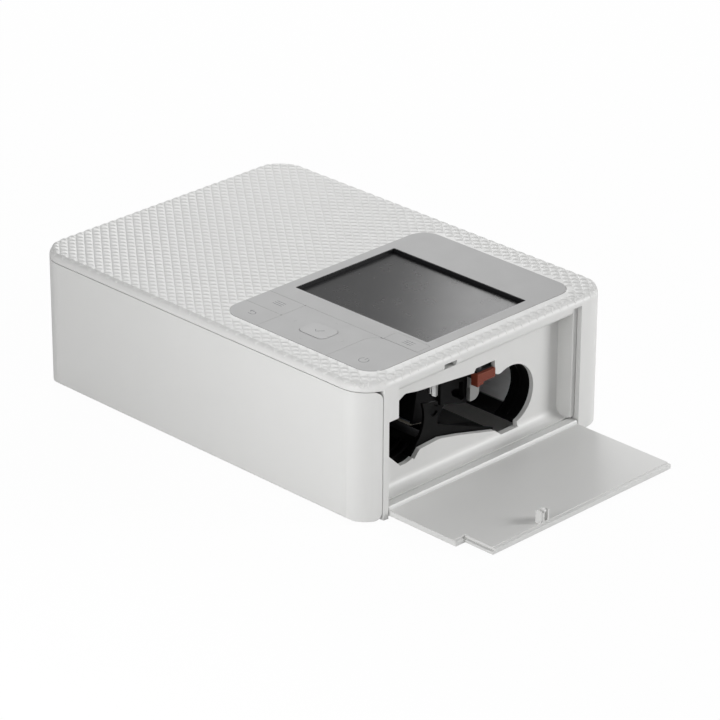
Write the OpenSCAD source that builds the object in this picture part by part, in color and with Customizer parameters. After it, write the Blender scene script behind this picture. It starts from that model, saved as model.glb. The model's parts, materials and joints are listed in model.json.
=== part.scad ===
// Compact dye-sublimation photo printer, side door open, front cover closed.
// X runs along the long side, Y to the rear, Z up; the table is z = 0.
// Modules are drawn about the middle of the case; place() moves them into the part's frame.

/* [Case] */
// Width of the case along X
case_w = 182.2; // [176:0.1:220]
// Depth of the case along Y
case_d = 133; // [130:0.1:150]
// Height from the table to the highest key
case_h = 57.6; // [57:0.1:66]
// Wall thickness of the outer shell
wall = 2.2; // [1.8:0.1:2.6]
// Radius of the four upright corners
corner_r = 12.8; // [11:0.1:16]
// Round along the top edge
top_fillet = 2.8; // [1.5:0.1:4]
// Height of the rubber feet below the case
foot_h = 1; // [0.6:0.1:2]
// Radius of a foot
foot_r = 6; // [4:0.1:8]
// Thickness of the bottom plate
base_t = 2; // [1.6:0.1:3]
// Depth of the top face below the highest key, filled by the raised pattern
relief = 0.3; // [0.2:0.05:0.6]

/* [Front cover] */
// Height of the top cap above the seam
cap_h = 3.7; // [3.2:0.1:6]
// How far the cover's ends reach back round the corners
cover_wrap = 9.1; // [8:0.1:10]
// Thickness of the cover
cover_t = 2.4; // [2:0.1:2.8]
// Gap round the closed cover
cover_gap = 0.3; // [0.2:0.05:0.5]
// Round on the rear corners of the cover's ends
cover_end_r = 3.4; // [3:0.1:4]
// Distance of the hinge line from the cover's face and from its open underside
cover_axis = 4.2; // [4:0.1:4.6]
// Radius of the cover's hinge pins
cover_pin_r = 1; // [0.8:0.05:1.2]

/* [Side door] */
// Width of the front post from the case front to the door opening
post_front = 11.9; // [11:0.1:16]
// Width of the rear jamb from the door opening to the case back
post_rear = 17; // [14:0.1:22]
// Thickness of the door
door_t = 2.2; // [2:0.1:2.4]
// Gap round the closed door
door_gap = 0.5; // [0.3:0.1:0.8]
// Height of the door's hinge line above the table
door_axis_z = 4.2; // [4:0.1:4.6]
// Radius of the door's hinge pins
door_pin_r = 0.9; // [0.7:0.05:1]
// Width of the ledge that the closed door rests on
ledge_w = 2.3; // [1.6:0.1:3]
// Depth of the recess behind the ledge
recess_depth = 7.3; // [6.5:0.1:9]
// Width of the fixed corner tab beside the door's notch
tab_w = 4.9; // [3:0.1:7]
// Height of the fixed corner tab
tab_h = 13.5; // [10:0.1:18]
// Width of the latch hook
hook_w = 5.1; // [4:0.1:8]
// Height of the latch hook above the door's inner face
hook_h = 5.6; // [4:0.1:6]

/* [Control panel] */
// Width of the control panel
panel_w = 79.9; // [78:0.1:84]
// Depth of the control panel
panel_d = 109.8; // [106:0.1:112]
// Corner radius of the control panel
panel_r = 8; // [5:0.1:12]
// Thickness of the control panel
panel_t = 1.8; // [1.4:0.1:2.2]
// Gap round the control panel
panel_gap = 0.2; // [0.1:0.05:0.4]
// Setback of the panel from the front of the case
panel_front = 10.5; // [8:0.1:11.5]
// Setback of the panel from the right of the case
panel_side = 7.8; // [7:0.1:9]
// Width of the screen opening
screen_w = 70.1; // [66:0.1:71]
// Depth of the screen opening
screen_d = 54; // [50:0.1:58]
// Setback of the screen opening from the front of the panel
screen_front = 34.3; // [33.5:0.1:38]
// Depth of the screen's glass below the panel's face
screen_sink = 1.6; // [1.2:0.1:2]
// Travel of each key
key_travel = 0.4; // [0.2:0.05:0.5]
// Gap round each key
key_gap = 0.12; // [0.08:0.01:0.2]

/* [Ink bay] */
// Length of the ribbon bay along X
bay_len = 118; // [112:0.5:120]
// Distance of the print line from the front of the case
print_setback = 49; // [48:0.1:50.5]
// Radius of the front spool bay
front_spool_r = 14.5; // [13.5:0.1:15]
// Radius of the rear spool bay
rear_spool_r = 12.8; // [12:0.1:13.4]
// Wall of the bay's liner
liner_t = 1.2; // [0.8:0.1:1.4]

/* [Print mechanism] */
// Radius of the platen roller
platen_r = 4.6; // [4:0.1:4.8]
// Radius of the feed roller
feed_r = 3.6; // [3:0.1:3.8]
// Radius of the grip roller
grip_r = 2.2; // [1.9:0.1:2.3]
// Radius of the pinch roller
pinch_r = 1.3; // [1.1:0.05:1.4]
// Radius of the roller shafts
shaft_r = 1.5; // [1.3:0.05:1.6]
// Length of paper across the rollers
paper_w = 100; // [96:0.5:104]
// Running clearance of shafts and pins
run = 0.05; // [0.02:0.01:0.08]
// Thickness of the steel frame plates
plate_t = 1.2; // [0.8:0.1:1.5]
// Tooth size of the gears (diameter over teeth)
gear_m = 0.5; // [0.49:0.01:0.51]
// Width of the gears
gear_w = 4; // [3:0.1:5]

/* [Hidden] */
$fn = 64;
e = 0.01;
top_z = case_h - relief;
panel_z = top_z + 0.1;
seam_z = case_h - cap_h;
base_z = foot_h;
floor_z = base_z + base_t;
roof_z = top_z - wall;
face_x = case_w / 2;
front_y = -case_d / 2;
back_y = case_d / 2;

// Door opening and recess
door_y0 = front_y + post_front;
door_y1 = back_y - post_rear;
door_top = seam_z + 0.1;
seat_x = face_x - wall - 0.2;
recess_x = seat_x - recess_depth;
recess_y1 = door_y1 - ledge_w;
recess_top = door_top - 2 * ledge_w;
sill_z = door_axis_z + door_t - 0.4;
door_axis_x = face_x - door_t;
door_len = door_top - door_gap + 0.2 - door_axis_z;
tab_z = door_top - tab_h;
tab_y1 = door_y0 + tab_w;
frame_back = recess_x - 2;
latch_y = (door_y0 + door_y1) / 2 - 17.5;
latch_z = door_axis_z + door_len - 2.3;
slot_back = seat_x - 3.4;
slot_z0 = recess_top + 0.5;
slot_z1 = slot_z0 + 3.7;
catch_w = hook_w + 3.4;
case_cx = -(door_axis_x + door_len - face_x) / 2;

// Front cover
cover_top = seam_z - cover_gap;
cover_bottom = base_z + 0.2;
cover_axis_y = front_y + cover_axis;
cover_axis_z = base_z + cover_axis;
cover_end_y = front_y + cover_wrap;
inner_gap = 0.4;
mouth_w = paper_w + 14;
mouth_top = 31;
ear_x = face_x - 10.4;
ear_w = 3;
boss_x = ear_x + ear_w / 2 + 0.3;
boss_end = face_x - 4;

// Control panel, positions from its own front left corner
panel_x0 = face_x - panel_side - panel_w;
panel_y0 = front_y + panel_front;
panel_cx = panel_x0 + panel_w / 2;
panel_cy = panel_y0 + panel_d / 2;
screen_cx = panel_cx - 0.3;
screen_cy = panel_y0 + screen_front + screen_d / 2;
panel_under = panel_z - panel_t;
key_depth = 3;

// Ink bay: section in Y and Z about the print line
print_y = front_y + print_setback;
bay_x1 = frame_back;
bay_x0 = bay_x1 - bay_len;
front_spool = [print_y - 20.5, 28];
rear_spool = [print_y + 38.5, 22.3];
hump_z = 17.3;
passage_top = 39.6;
lever_y0 = print_y + 19;
lever_w = 10.4;

// Rollers, as [y, z] of each axis
platen_at = [print_y, hump_z - 1.1 - platen_r];
feed_at = [print_y - 5 - feed_r - 0.4, 10.8];
grip_at = [print_y + 12, 8.4];
pinch_at = [print_y + 12, grip_at[1] + grip_r + pinch_r + 0.1];
left_x = bay_x0;
right_x = bay_x1 - 2.4;
paper_cx = (bay_x0 + bay_x1) / 2;
roll_x0 = paper_cx - paper_w / 2;
roll_x1 = paper_cx + paper_w / 2;
bush_r = shaft_r + 0.7;
pinch_shaft_r = 0.9;
pinch_bush_r = 1.3;
hub_r = 4;
guide_inset = 4.6;

// Gears: numbers of teeth, then the centres in Y and Z, each in mesh with its neighbours
idler_teeth = 36;
pinion_teeth = 18;
roller_teeth = 18;
second_teeth = 28;
takeup_teeth = 38;
mesh_slack = 0.06;
stud_r = 1.2;
motor_r = 12;
motor_gap = 11.9;
function span(a, b) = gear_m * (a + b) / 2 + mesh_slack;
// Point at distance da from a and db from b, on the left of the way from a to b
function meet(a, da, b, db) =
    let (v = b - a, d = norm(v), k = (da * da - db * db + d * d) / (2 * d), h = sqrt(da * da - k * k))
    a + v / d * k + [-v[1], v[0]] / d * h;
function bearing(a, b) = atan2(b[1] - a[1], b[0] - a[0]);
// Turn of a gear with nb teeth at b that meshes with one of na teeth at a, turned by pa
function mesh_turn(a, na, pa, b, nb) = bearing(a, b) + 180 + 180 / nb - (pa - bearing(a, b)) * na / nb;
idler_at = meet(platen_at, span(idler_teeth, roller_teeth), grip_at, span(idler_teeth, roller_teeth));
pinion_at = idler_at + span(idler_teeth, pinion_teeth) * [cos(176), sin(176)];
takeup_at = rear_spool;
second_at = meet(idler_at, span(idler_teeth, second_teeth), takeup_at, span(second_teeth, takeup_teeth));
platen_turn = mesh_turn(idler_at, idler_teeth, 0, platen_at, roller_teeth);
grip_turn = mesh_turn(idler_at, idler_teeth, 0, grip_at, roller_teeth);
pinion_turn = mesh_turn(idler_at, idler_teeth, 0, pinion_at, pinion_teeth);
second_turn = mesh_turn(idler_at, idler_teeth, 0, second_at, second_teeth);
takeup_turn = mesh_turn(second_at, second_teeth, second_turn, takeup_at, takeup_teeth);
gear_x = left_x - plate_t - 1 - gear_w;
bracket_x = gear_x - 2;
motor_len = bracket_x - plate_t + face_x - wall - motor_gap;

// Thermal head, drawn pressed on the platen and shown lifted
head_lift = 10;
head_pivot = [print_y + 17, 37.8];
head_tip = platen_at[1] + platen_r + 0.4;
head_x0 = bay_x0 + 4;
head_x1 = bay_x1 - 6.8;
stay_x1 = bay_x1 - 4.8;

// Electronics
board_z = roof_z - 8.6;
board_t = 1.6;
frame_top = board_z - 1.5;
board_x0 = -face_x + wall + 0.4;
board_x1 = bay_x0 - 5;
board_cx = (board_x0 + board_x1) / 2;
card_y = -20;
usb_y = 6;
inlet_x = -face_x + 27;
inlet_z = 22;
inlet_r = 3.2;
inlet_depth = 9.6;
key_board_z = panel_under - 1.5 - key_depth;
tray_z = panel_under - 3.5;

// Keys as [left, front, right, rear, corner radius], the outer ones run past the panel's edge
past = 12;
key_rear = panel_y0 + 25.4;
column_x = panel_x0 + 19.4;
power_x = panel_x0 + 56.5;
menu_box = [panel_x0 - past, panel_y0 + 13 + key_gap / 2, column_x, key_rear, 0.6];
back_box = [panel_x0 - past, panel_y0 - past, column_x, panel_y0 + 13 - key_gap / 2, 0.6];
arrow_box = [column_x + key_gap, panel_y0 - past, power_x + 3.2, key_rear, 0.6];
power_box = [power_x, panel_y0 - past, panel_x0 + panel_w + past, key_rear, 6];
edit_box = [panel_x0 + 60.7, key_rear + 2 * key_gap, panel_x0 + 77.9, panel_y0 + 32.8, 1.2];
ok_box = [panel_x0 + 32.7, panel_y0 + 7.9, panel_x0 + 46.1, panel_y0 + 17.9, 2.7];
ok_at = [(ok_box[0] + ok_box[2]) / 2, (ok_box[1] + ok_box[3]) / 2];
menu_at = [panel_x0 + 10, panel_y0 + 19.6];
back_at = [panel_x0 + 10, panel_y0 + 6.8];
edit_at = [panel_x0 + 69.3, panel_y0 + 29.3];
power_at = [panel_x0 + 68.6, panel_y0 + 12];

// Open side door
door_free = door_axis_x + door_len;
notch_x = door_axis_x + tab_z - door_gap - door_axis_z;
notch_y = tab_y1 + door_gap;
hook_x = door_axis_x + latch_z - door_axis_z;

// Fasteners
boss_r = 4.2;
boss_z = floor_z + 2;
screw_at = [[-face_x + 10, back_y - 15], [face_x - 11, back_y - 9.6], [-face_x + 10, front_y + 19]];
frame_screw_at = [[seat_x - 5.6, door_y0 + 9], [seat_x - 5.6, door_y1 - 9]];

// ---------- shared shapes ----------

module place() {
    translate([case_cx, 0, 0]) children();
}

module rounded_rect(w, d, r) {
    square([w - 2 * r, d], center = true);
    square([w, d - 2 * r], center = true);
    for (x = [-1, 1], y = [-1, 1]) translate([x * (w / 2 - r), y * (d / 2 - r)]) circle(r);
}

// Half of a section with a rounded upper outer corner, for turning or extruding
module edge_profile(half, h, f) {
    square([half - f, h]);
    square([half, h - f]);
    translate([half - f, h - f]) circle(f);
}

// Block with upright corners of radius r and its top edge rounded by f
module rounded_block(w, d, h, r, f) {
    for (x = [-1, 1], y = [-1, 1])
        translate([x * (w / 2 - r), y * (d / 2 - r), 0])
            rotate_extrude() edge_profile(r, h, f);
    for (s = [-1, 1]) {
        translate([0, -(d / 2 - r), 0]) rotate([90, 0, 0]) mirror([0, 0, 1])
            linear_extrude(d - 2 * r) scale_x(s) edge_profile(w / 2, h, f);
        translate([-(w / 2 - r), 0, 0]) rotate([90, 0, 90])
            linear_extrude(w - 2 * r) scale_x(s) edge_profile(d / 2, h, f);
    }
}

module scale_x(s) {
    if (s > 0) children();
    else mirror([1, 0]) children();
}

// Extrudes a Y-Z section along X from x0 to x1
module along_x(x0, x1) {
    translate([x0, 0, 0]) rotate([90, 0, 90]) linear_extrude(x1 - x0) children();
}

// Cylinder along X from x0 to x1 at the point p = [y, z]
module rod_x(p, r, x0, x1) {
    translate([x0, p[0], p[1]]) rotate([0, 90, 0]) cylinder(r = r, h = x1 - x0);
}

// Cylinder along Y from y0 to y1 at the point [x, z]
module rod_y(x, z, r, y0, y1) {
    translate([x, y0, z]) rotate([-90, 0, 0]) cylinder(r = r, h = y1 - y0);
}

module box(x0, x1, y0, y1, z0, z1) {
    translate([x0, y0, z0]) cube([x1 - x0, y1 - y0, z1 - z0]);
}

// Row of n slots of the given width, spaced along one axis
module slot_row(n, pitch) {
    for (i = [0 : n - 1]) translate([(i - (n - 1) / 2) * pitch, 0, 0]) children();
}

// Involute spur gear outline: straight roots, sampled flanks, tip land
function involute(rb, t) = [rb * (cos(t) + t * PI / 180 * sin(t)), rb * (sin(t) - t * PI / 180 * cos(t))];
function turn(p, a) = [p[0] * cos(a) - p[1] * sin(a), p[0] * sin(a) + p[1] * cos(a)];
function flank_t(rb, r) = r <= rb ? 0 : sqrt(pow(r / rb, 2) - 1) * 180 / PI;
function flank_a(rb, r) = r <= rb ? 0 : sqrt(pow(r / rb, 2) - 1) * 180 / PI - acos(rb / r);

module gear_outline(teeth) {
    pitch_r = gear_m * teeth / 2;
    base_r = pitch_r * cos(20);
    tip_r = pitch_r + 0.92 * gear_m;
    root_r = pitch_r - 1.2 * gear_m;
    half = 90 / teeth - 0.07 / pitch_r * 180 / PI / 2 + flank_a(base_r, pitch_r);
    start_r = max(base_r, root_r + 0.02);
    steps = 3;
    right = [for (i = [0 : steps])
        let (r = start_r + (tip_r - start_r) * i / steps)
        turn(involute(base_r, flank_t(base_r, r)), -half)];
    left = [for (i = [steps : -1 : 0]) [right[i][0], -right[i][1]]];
    tooth = concat([turn([root_r, 0], -half)], right, left, [turn([root_r, 0], half)]);
    polygon([for (k = [0 : teeth - 1]) for (p = tooth) turn(p, k * 360 / teeth)]);
}

// Gear at [y, z] with its hub bored; phase in degrees
module gear(at, teeth, x0, bore_r, phase = 0) {
    difference() {
        translate([x0, at[0], at[1]]) rotate([90, 0, 90]) rotate(phase)
            linear_extrude(gear_w) gear_outline(teeth);
        rod_x(at, bore_r, x0 - 1, x0 + gear_w + 1);
        if (teeth > 26)
            difference() {
                rod_x(at, gear_m * teeth / 2 - 1.6, x0 - 1, x0 + 1.1);
                rod_x(at, bore_r + 1.5, x0 - 2, x0 + 2);
            }
    }
}

// ---------- ink bay section ----------

// The clear opening, seen from the right
module bay_opening() {
    f = front_spool;
    r = rear_spool;
    difference() {
        translate(f) circle(front_spool_r);
        polygon([[f[0] - 18, f[1] + 2.4], [f[0] - 18, f[1] - 18], [f[0] + 4, f[1] - 18],
            [f[0] - 0.8, f[1] - 14.2]]);
        translate([f[0] - 1, f[1] - 19.3]) square([12, 5]);
        polygon([[f[0] - 14, f[1] + 6.3], [f[0] + 1.6, f[1] + 14.6], [f[0] - 14, f[1] + 14.6]]);
    }
    intersection() {
        translate(r) circle(rear_spool_r);
        polygon([[r[0] - 14, 7.8], [r[0] + 5.8, 7.8], [r[0] + 9, 12.6], [r[0] + 14, 20.6],
            [r[0] + 14, 36], [r[0] - 14, 36]]);
    }
    polygon([[f[0] + 6.6, f[1] - 14.3], [f[0] + 9.7, hump_z - 0.3], [print_y, hump_z + 0.3],
        [print_y + 10.9, 15.3], [r[0] - 8.2, 10.3], [r[0] - 5.4, 8], [r[0] + 4, 8],
        [r[0] + 3, r[1] + 12.3], [r[0] - 7.3, r[1] + 11.4], [lever_y0 + lever_w, passage_top - 4.8],
        [lever_y0 + lever_w, passage_top + 0.7], [lever_y0, passage_top + 0.7],
        [lever_y0 - 1.1, passage_top - 0.9], [print_y - 12.2, passage_top + 1.8],
        [f[0] + 2, f[1] + front_spool_r], [f[0] - 4, f[1]]]);
}

// Outside of the liner: the opening with a wall round it, open above the print line
module bay_shell() {
    difference() {
        union() {
            translate(front_spool) circle(front_spool_r + liner_t);
            translate(rear_spool) circle(rear_spool_r + liner_t);
            polygon([[front_spool[0], front_spool[1] - front_spool_r - liner_t + 0.2],
                [front_spool[0] + 6.9, front_spool[1] - front_spool_r - liner_t + 0.2],
                [front_spool[0] + 10.1, hump_z - 0.3 - liner_t], [print_y, hump_z + 0.3 - liner_t],
                [print_y + 10.7, 15.3 - liner_t], [rear_spool[0] - 8.5, 10.3 - liner_t],
                [rear_spool[0] - 6, 8 - liner_t + 0.6], [rear_spool[0], 25], [front_spool[0], 25]]);
        }
        bay_opening();
        translate([front_spool[0] - 20, front_spool[1] - front_spool_r - liner_t - 5 + 0.2])
            square([30, 5]);
        translate([rear_spool[0] - 20, 8 - liner_t - 5 + 0.6]) square([40, 5]);
    }
}

// ---------- outer shell ----------

module upper_case() color([0.93, 0.93, 0.92]) place() {
    difference() {
        union() {
            difference() {
                translate([0, 0, base_z]) rounded_block(case_w, case_d, top_z - base_z, corner_r, top_fillet);
                translate([0, 0, base_z - 1]) linear_extrude(roof_z - base_z + 1)
                    rounded_rect(case_w - 2 * wall, case_d - 2 * wall, corner_r - wall);
            }
            // rim that carries the control panel
            translate([panel_cx, panel_cy, panel_under - 1.5]) linear_extrude(roof_z - panel_under + 1.5 + e)
                rounded_rect(panel_w + 2, panel_d + 2, panel_r + 1);
            // bosses for the door's hinge pins
            box(door_axis_x - 2.6, face_x - 1, door_y0 - 2.4, door_y0, door_axis_z - 2.2, door_axis_z + 2.6);
            box(door_axis_x - 2.6, face_x - 1, door_y1, door_y1 + 3.2, door_axis_z - 2.2, door_axis_z + 2.6);
            // posts that hold the main board down
            for (p = [[board_x0 + 9.4, 20], [board_x1 - 4, front_y + 22], [board_x1 - 4, 38]])
                translate([p[0], p[1], board_z + board_t]) cylinder(r = 2.2, h = roof_z - board_z - board_t + e);
            // screw posts
            for (p = screw_at)
                translate([p[0], p[1], boss_z]) cylinder(r = boss_r - 1, h = roof_z - boss_z + e);
        }
        // space for the front cover
        box(-case_w, case_w, front_y - 1, cover_end_y + inner_gap, base_z - 1, seam_z);
        // door opening with its fixed corner tab
        difference() {
            box(seat_x - 1, face_x + 1, door_y0, door_y1, base_z - 1, door_top);
            box(face_x - wall, face_x + 2, door_y0 - 1, tab_y1, tab_z, door_top + 1);
        }
        rod_y(door_axis_x, door_axis_z, door_pin_r, door_y0 - 3, door_y0 + 1);
        rod_y(door_axis_x, door_axis_z, door_pin_r, door_y1 - 1, door_y1 + 3);
        // control panel pocket and the opening below it
        translate([panel_cx, panel_cy, panel_under]) linear_extrude(10)
            rounded_rect(panel_w + 2 * panel_gap, panel_d + 2 * panel_gap, panel_r + panel_gap);
        translate([panel_cx, panel_cy, 0]) linear_extrude(case_h)
            rounded_rect(panel_w - 4, panel_d - 4, panel_r - 2);
        // screw holes
        for (p = screw_at)
            translate([p[0], p[1], 0]) cylinder(r = 1.1, h = boss_z + 10);
        // rear: paper slot, vents and the power inlet
        box(paper_cx - paper_w / 2 - 4, paper_cx + paper_w / 2 + 4, back_y - 4, back_y + 1, floor_z + 1, floor_z + 6);
        translate([paper_cx + 8, back_y, 40]) slot_row(12, 4)
            box(-1, 1, -4, 1, -6, 6);
        box(inlet_x - 6, inlet_x + 6, back_y - 4, back_y + 1, inlet_z - 4.8, inlet_z + 4.8);
        // left side: vents, card slot and data port
        translate([-face_x, 22, 30]) rotate([0, 0, 90]) slot_row(9, 4)
            box(-1, 1, -4, 4, -9, 9);
        box(-face_x - 1, -face_x + 4, card_y - 13, card_y + 13, board_z + 2.2, board_z + 5.4);
        box(-face_x - 1, -face_x + 4, usb_y - 4.7, usb_y + 4.7, board_z + 1.6, board_z + 5.6);
    }
}

module base_plate() color([0.86, 0.86, 0.85]) place() {
    inset = wall + 0.2;
    difference() {
        union() {
            intersection() {
                translate([0, 0, base_z]) linear_extrude(base_t)
                    rounded_rect(case_w - 2 * inset, case_d - 2 * inset, corner_r - inset);
                difference() {
                    box(-case_w, case_w, cover_axis_y + 5.4, case_d, 0, floor_z + e);
                    box(door_axis_x - 2.9, case_w, door_y0 - 2.8, door_y1 + 3.6, 0, floor_z + 1);
                }
            }
            for (p = screw_at)
                translate([p[0], p[1], base_z]) cylinder(r = boss_r - 0.8, h = boss_z - base_z);
            // ears of the cover's hinge
            for (m = [0, 1]) mirror([m, 0, 0]) {
                rod_x([cover_axis_y, cover_axis_z], 2.4, ear_x - ear_w / 2, ear_x + ear_w / 2);
                box(ear_x - ear_w / 2, ear_x + ear_w / 2, cover_axis_y, door_y0 - 1.1, cover_axis_z - 0.7, cover_axis_z + 1.6);
                box(ear_x - ear_w / 2, ear_x + ear_w / 2, cover_axis_y + 5.5, door_y0 - 1.1, floor_z - 0.2, cover_axis_z + 1.6);
            }
        }
        rod_x([cover_axis_y, cover_axis_z], cover_pin_r, -case_w, case_w);
        for (p = concat(screw_at, frame_screw_at)) {
            translate([p[0], p[1], 0]) cylinder(r = 2.4, h = base_z + 1.2);
            translate([p[0], p[1], 0]) cylinder(r = 1.3, h = boss_z + 1);
        }
        for (p = foot_at())
            translate([p[0], p[1], 0]) cylinder(r = foot_r + 0.1, h = base_z + 0.6);
        // intake slots
        translate([-face_x + 30, 0, 0]) slot_row(7, 4) box(-1, 1, -12, 12, 0, floor_z + 1);
    }
}

function foot_at() = [for (x = [-1, 1], y = [-1, 1])
    [x * (face_x - 24), y * (back_y - 21)]];

// Inner front wall behind the cover, with the paper cassette's opening
module front_panel() color([0.90, 0.90, 0.89]) place() {
    o = cover_t + inner_gap;
    difference() {
        translate([0, 0, cover_axis_z + 3.2]) linear_extrude(roof_z - cover_axis_z - 3.2) difference() {
            rounded_rect(case_w - 2 * o, case_d - 2 * o, corner_r - o);
            rounded_rect(case_w - 2 * o - 3.6, case_d - 2 * o - 3.6, corner_r - o - 1.8);
            translate([-case_w, cover_end_y - 1.2]) square([2 * case_w, case_d * 2]);
        }
        box(paper_cx - mouth_w / 2, paper_cx + mouth_w / 2, front_y, front_y + 20, 0, mouth_top);
        box(-4, 4, front_y, front_y + 8, cover_top - 7, cover_top - 1.6);
    }
}

// Recess behind the side door, with the seat, the latch slot and the ink bay's opening
// Recess behind the door: a large round at its foot, a smaller one on its top edge
module recess_cut() {
    foot_r = 4.2;
    top_r = 2.2;
    y0 = door_y0 + 0.3;
    difference() {
        box(recess_x, seat_x + 1, y0, recess_y1, sill_z, recess_top);
        difference() {
            box(recess_x - 1, recess_x + foot_r, y0 - 1, recess_y1 + 1, sill_z - 1, sill_z + foot_r);
            rod_y(recess_x + foot_r, sill_z + foot_r, foot_r, y0 - 2, recess_y1 + 2);
        }
    }
    difference() {
        box(seat_x - top_r, seat_x + 1, y0, recess_y1, recess_top - 0.5, recess_top + top_r);
        rod_y(seat_x - top_r, recess_top + top_r, top_r, y0 - 1, recess_y1 + 1);
    }
}

module side_frame() color([0.93, 0.93, 0.92]) place() {
    // ledge that the lock's spring pushes against
    box(recess_x - 6.6, frame_back + 0.5, lever_y0 + 2, lever_y0 + 8.4, passage_top + 1.7, passage_top + 3);
    difference() {
        box(frame_back, seat_x, door_y0 - 1, door_y1 + 1.8, floor_z, panel_under - 1.5);
        recess_cut();
        // hinge clearance along the foot of the recess
        rod_y(door_axis_x, door_axis_z, door_t + 0.3, door_y0 - 4, door_y1 + 4);
        box(door_axis_x - door_t - 0.3, seat_x + 1, door_y0 - 3, door_y1 + 3, floor_z - 1, door_axis_z);
        box(door_axis_x - door_t, seat_x + 1, door_y0 + 0.3, recess_y1, door_axis_z, sill_z + 1);
        along_x(frame_back - 1, recess_x + 1) bay_opening();
        // latch slot, and the pocket for the clip behind it
        box(slot_back - 1, seat_x + 1, latch_y - hook_w / 2 - 0.7, latch_y + hook_w / 2 + 0.7,
            slot_z0, slot_z1);
        box(recess_x, slot_back, latch_y - catch_w / 2 - 0.2, latch_y + catch_w / 2 + 0.2,
            slot_z0, case_h);
        // room for the screen and key boards, and a hollow behind the top ledge
        box(frame_back - 1, recess_x, door_y0 - 2, door_y1 + 2, recess_top + 1.4, case_h);
        box(recess_x - 1, seat_x - 2, door_y0 + 3, latch_y - 6, recess_top + 1.4, panel_under - 3);
        box(recess_x - 1, seat_x - 2, latch_y + 6, door_y1 - 3, recess_top + 1.4, panel_under - 3);
        for (y = [door_y0 - 5, door_y1])
            box(door_axis_x - 2.8, seat_x + 1, y, y + 5, 0, door_axis_z + 2.8);
        for (p = frame_screw_at)
            translate([p[0], p[1], 0]) cylinder(r = 1.1, h = sill_z - 0.6);
    }
}

module rubber_feet() color([0.2, 0.2, 0.2]) place()
    for (p = foot_at())
        translate([p[0], p[1], 0]) difference() {
            cylinder(r = foot_r, h = foot_h + 0.6);
            translate([0, 0, -1]) cylinder(r = foot_r - 2, h = 1.3);
        }

// Cross-head screws: three into the posts of the case, two into the side frame
module case_screws() color([0.3, 0.3, 0.32]) place() {
    for (p = screw_at) screw(p, boss_z + 8);
    for (p = frame_screw_at) screw(p, sill_z - 1);
}

module screw(p, tip) {
    translate([p[0], p[1], 0]) difference() {
        union() {
            translate([0, 0, base_z]) cylinder(r = 2.2, h = 1.2);
            translate([0, 0, base_z + 1]) cylinder(r = 1.1, h = tip - base_z - 1);
        }
        for (a = [0, 90]) rotate(a) box(-1.3, 1.3, -0.3, 0.3, base_z - 1, base_z + 0.7);
    }
}

// ---------- front cover ----------

module front_cover() color([0.93, 0.93, 0.92]) place() {
    difference() {
        union() {
            intersection() {
                difference() {
                    translate([0, 0, cover_bottom]) linear_extrude(cover_top - cover_bottom)
                        rounded_rect(case_w, case_d, corner_r);
                    translate([0, 0, -1]) linear_extrude(case_h)
                        rounded_rect(case_w - 2 * cover_t, case_d - 2 * cover_t, corner_r - cover_t);
                }
                along_x(-case_w, case_w) cover_side();
            }
            // hinge bosses inside the two corners
            intersection() {
                translate([0, 0, cover_bottom]) linear_extrude(20) rounded_rect(case_w, case_d, corner_r);
                for (m = [0, 1]) mirror([m, 0, 0]) {
                    rod_x([cover_axis_y, cover_axis_z], 2.6, boss_x, boss_end);
                    box(boss_x, boss_end, front_y, cover_axis_y, cover_axis_z - 2.6, cover_axis_z + 2.6);
                }
            }
            // stiffening ribs and the catch
            for (x = [-46, 0, 46])
                box(x - 0.7, x + 0.7, front_y + 1, front_y + cover_t + 0.2, 12, cover_top - 9);
            box(-3, 3, front_y + 1, front_y + cover_t + 3, cover_top - 5, cover_top - 3.4);
            box(-3, 3, front_y + cover_t + 2, front_y + cover_t + 3.2, cover_top - 5, cover_top - 2.8);
        }
        for (m = [0, 1]) mirror([m, 0, 0]) {
            rod_x([cover_axis_y, cover_axis_z], cover_pin_r + run, ear_x - 4, boss_end - 1);
            rod_x([cover_axis_y, cover_axis_z], 2.8, ear_x - ear_w / 2 - 0.3, boss_x);
        }
    }
}

// Side view of the cover: rounded rear corners, small rounds along the front edges
module cover_side() {
    y0 = front_y;
    y1 = cover_end_y;
    z0 = cover_bottom;
    z1 = cover_top;
    r = cover_end_r;
    f = 1.6;
    translate([y0 + f, z0]) square([y1 - r - y0 - f, z1 - z0]);
    translate([y0, z0 + f]) square([y1 - r - y0, z1 - z0 - f]);
    translate([y0, z0 + r]) square([y1 - y0, z1 - z0 - 2 * r]);
    translate([y0 + f, z0 + f]) circle(f);
    for (z = [z0 + r, z1 - r]) translate([y1 - r, z]) circle(r);
}

module front_hinge_pins() color([0.75, 0.75, 0.77]) place()
    for (m = [0, 1]) mirror([m, 0, 0])
        rod_x([cover_axis_y, cover_axis_z], cover_pin_r, ear_x - ear_w / 2, boss_end - 1.4);

// ---------- side door, lying open ----------

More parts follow.
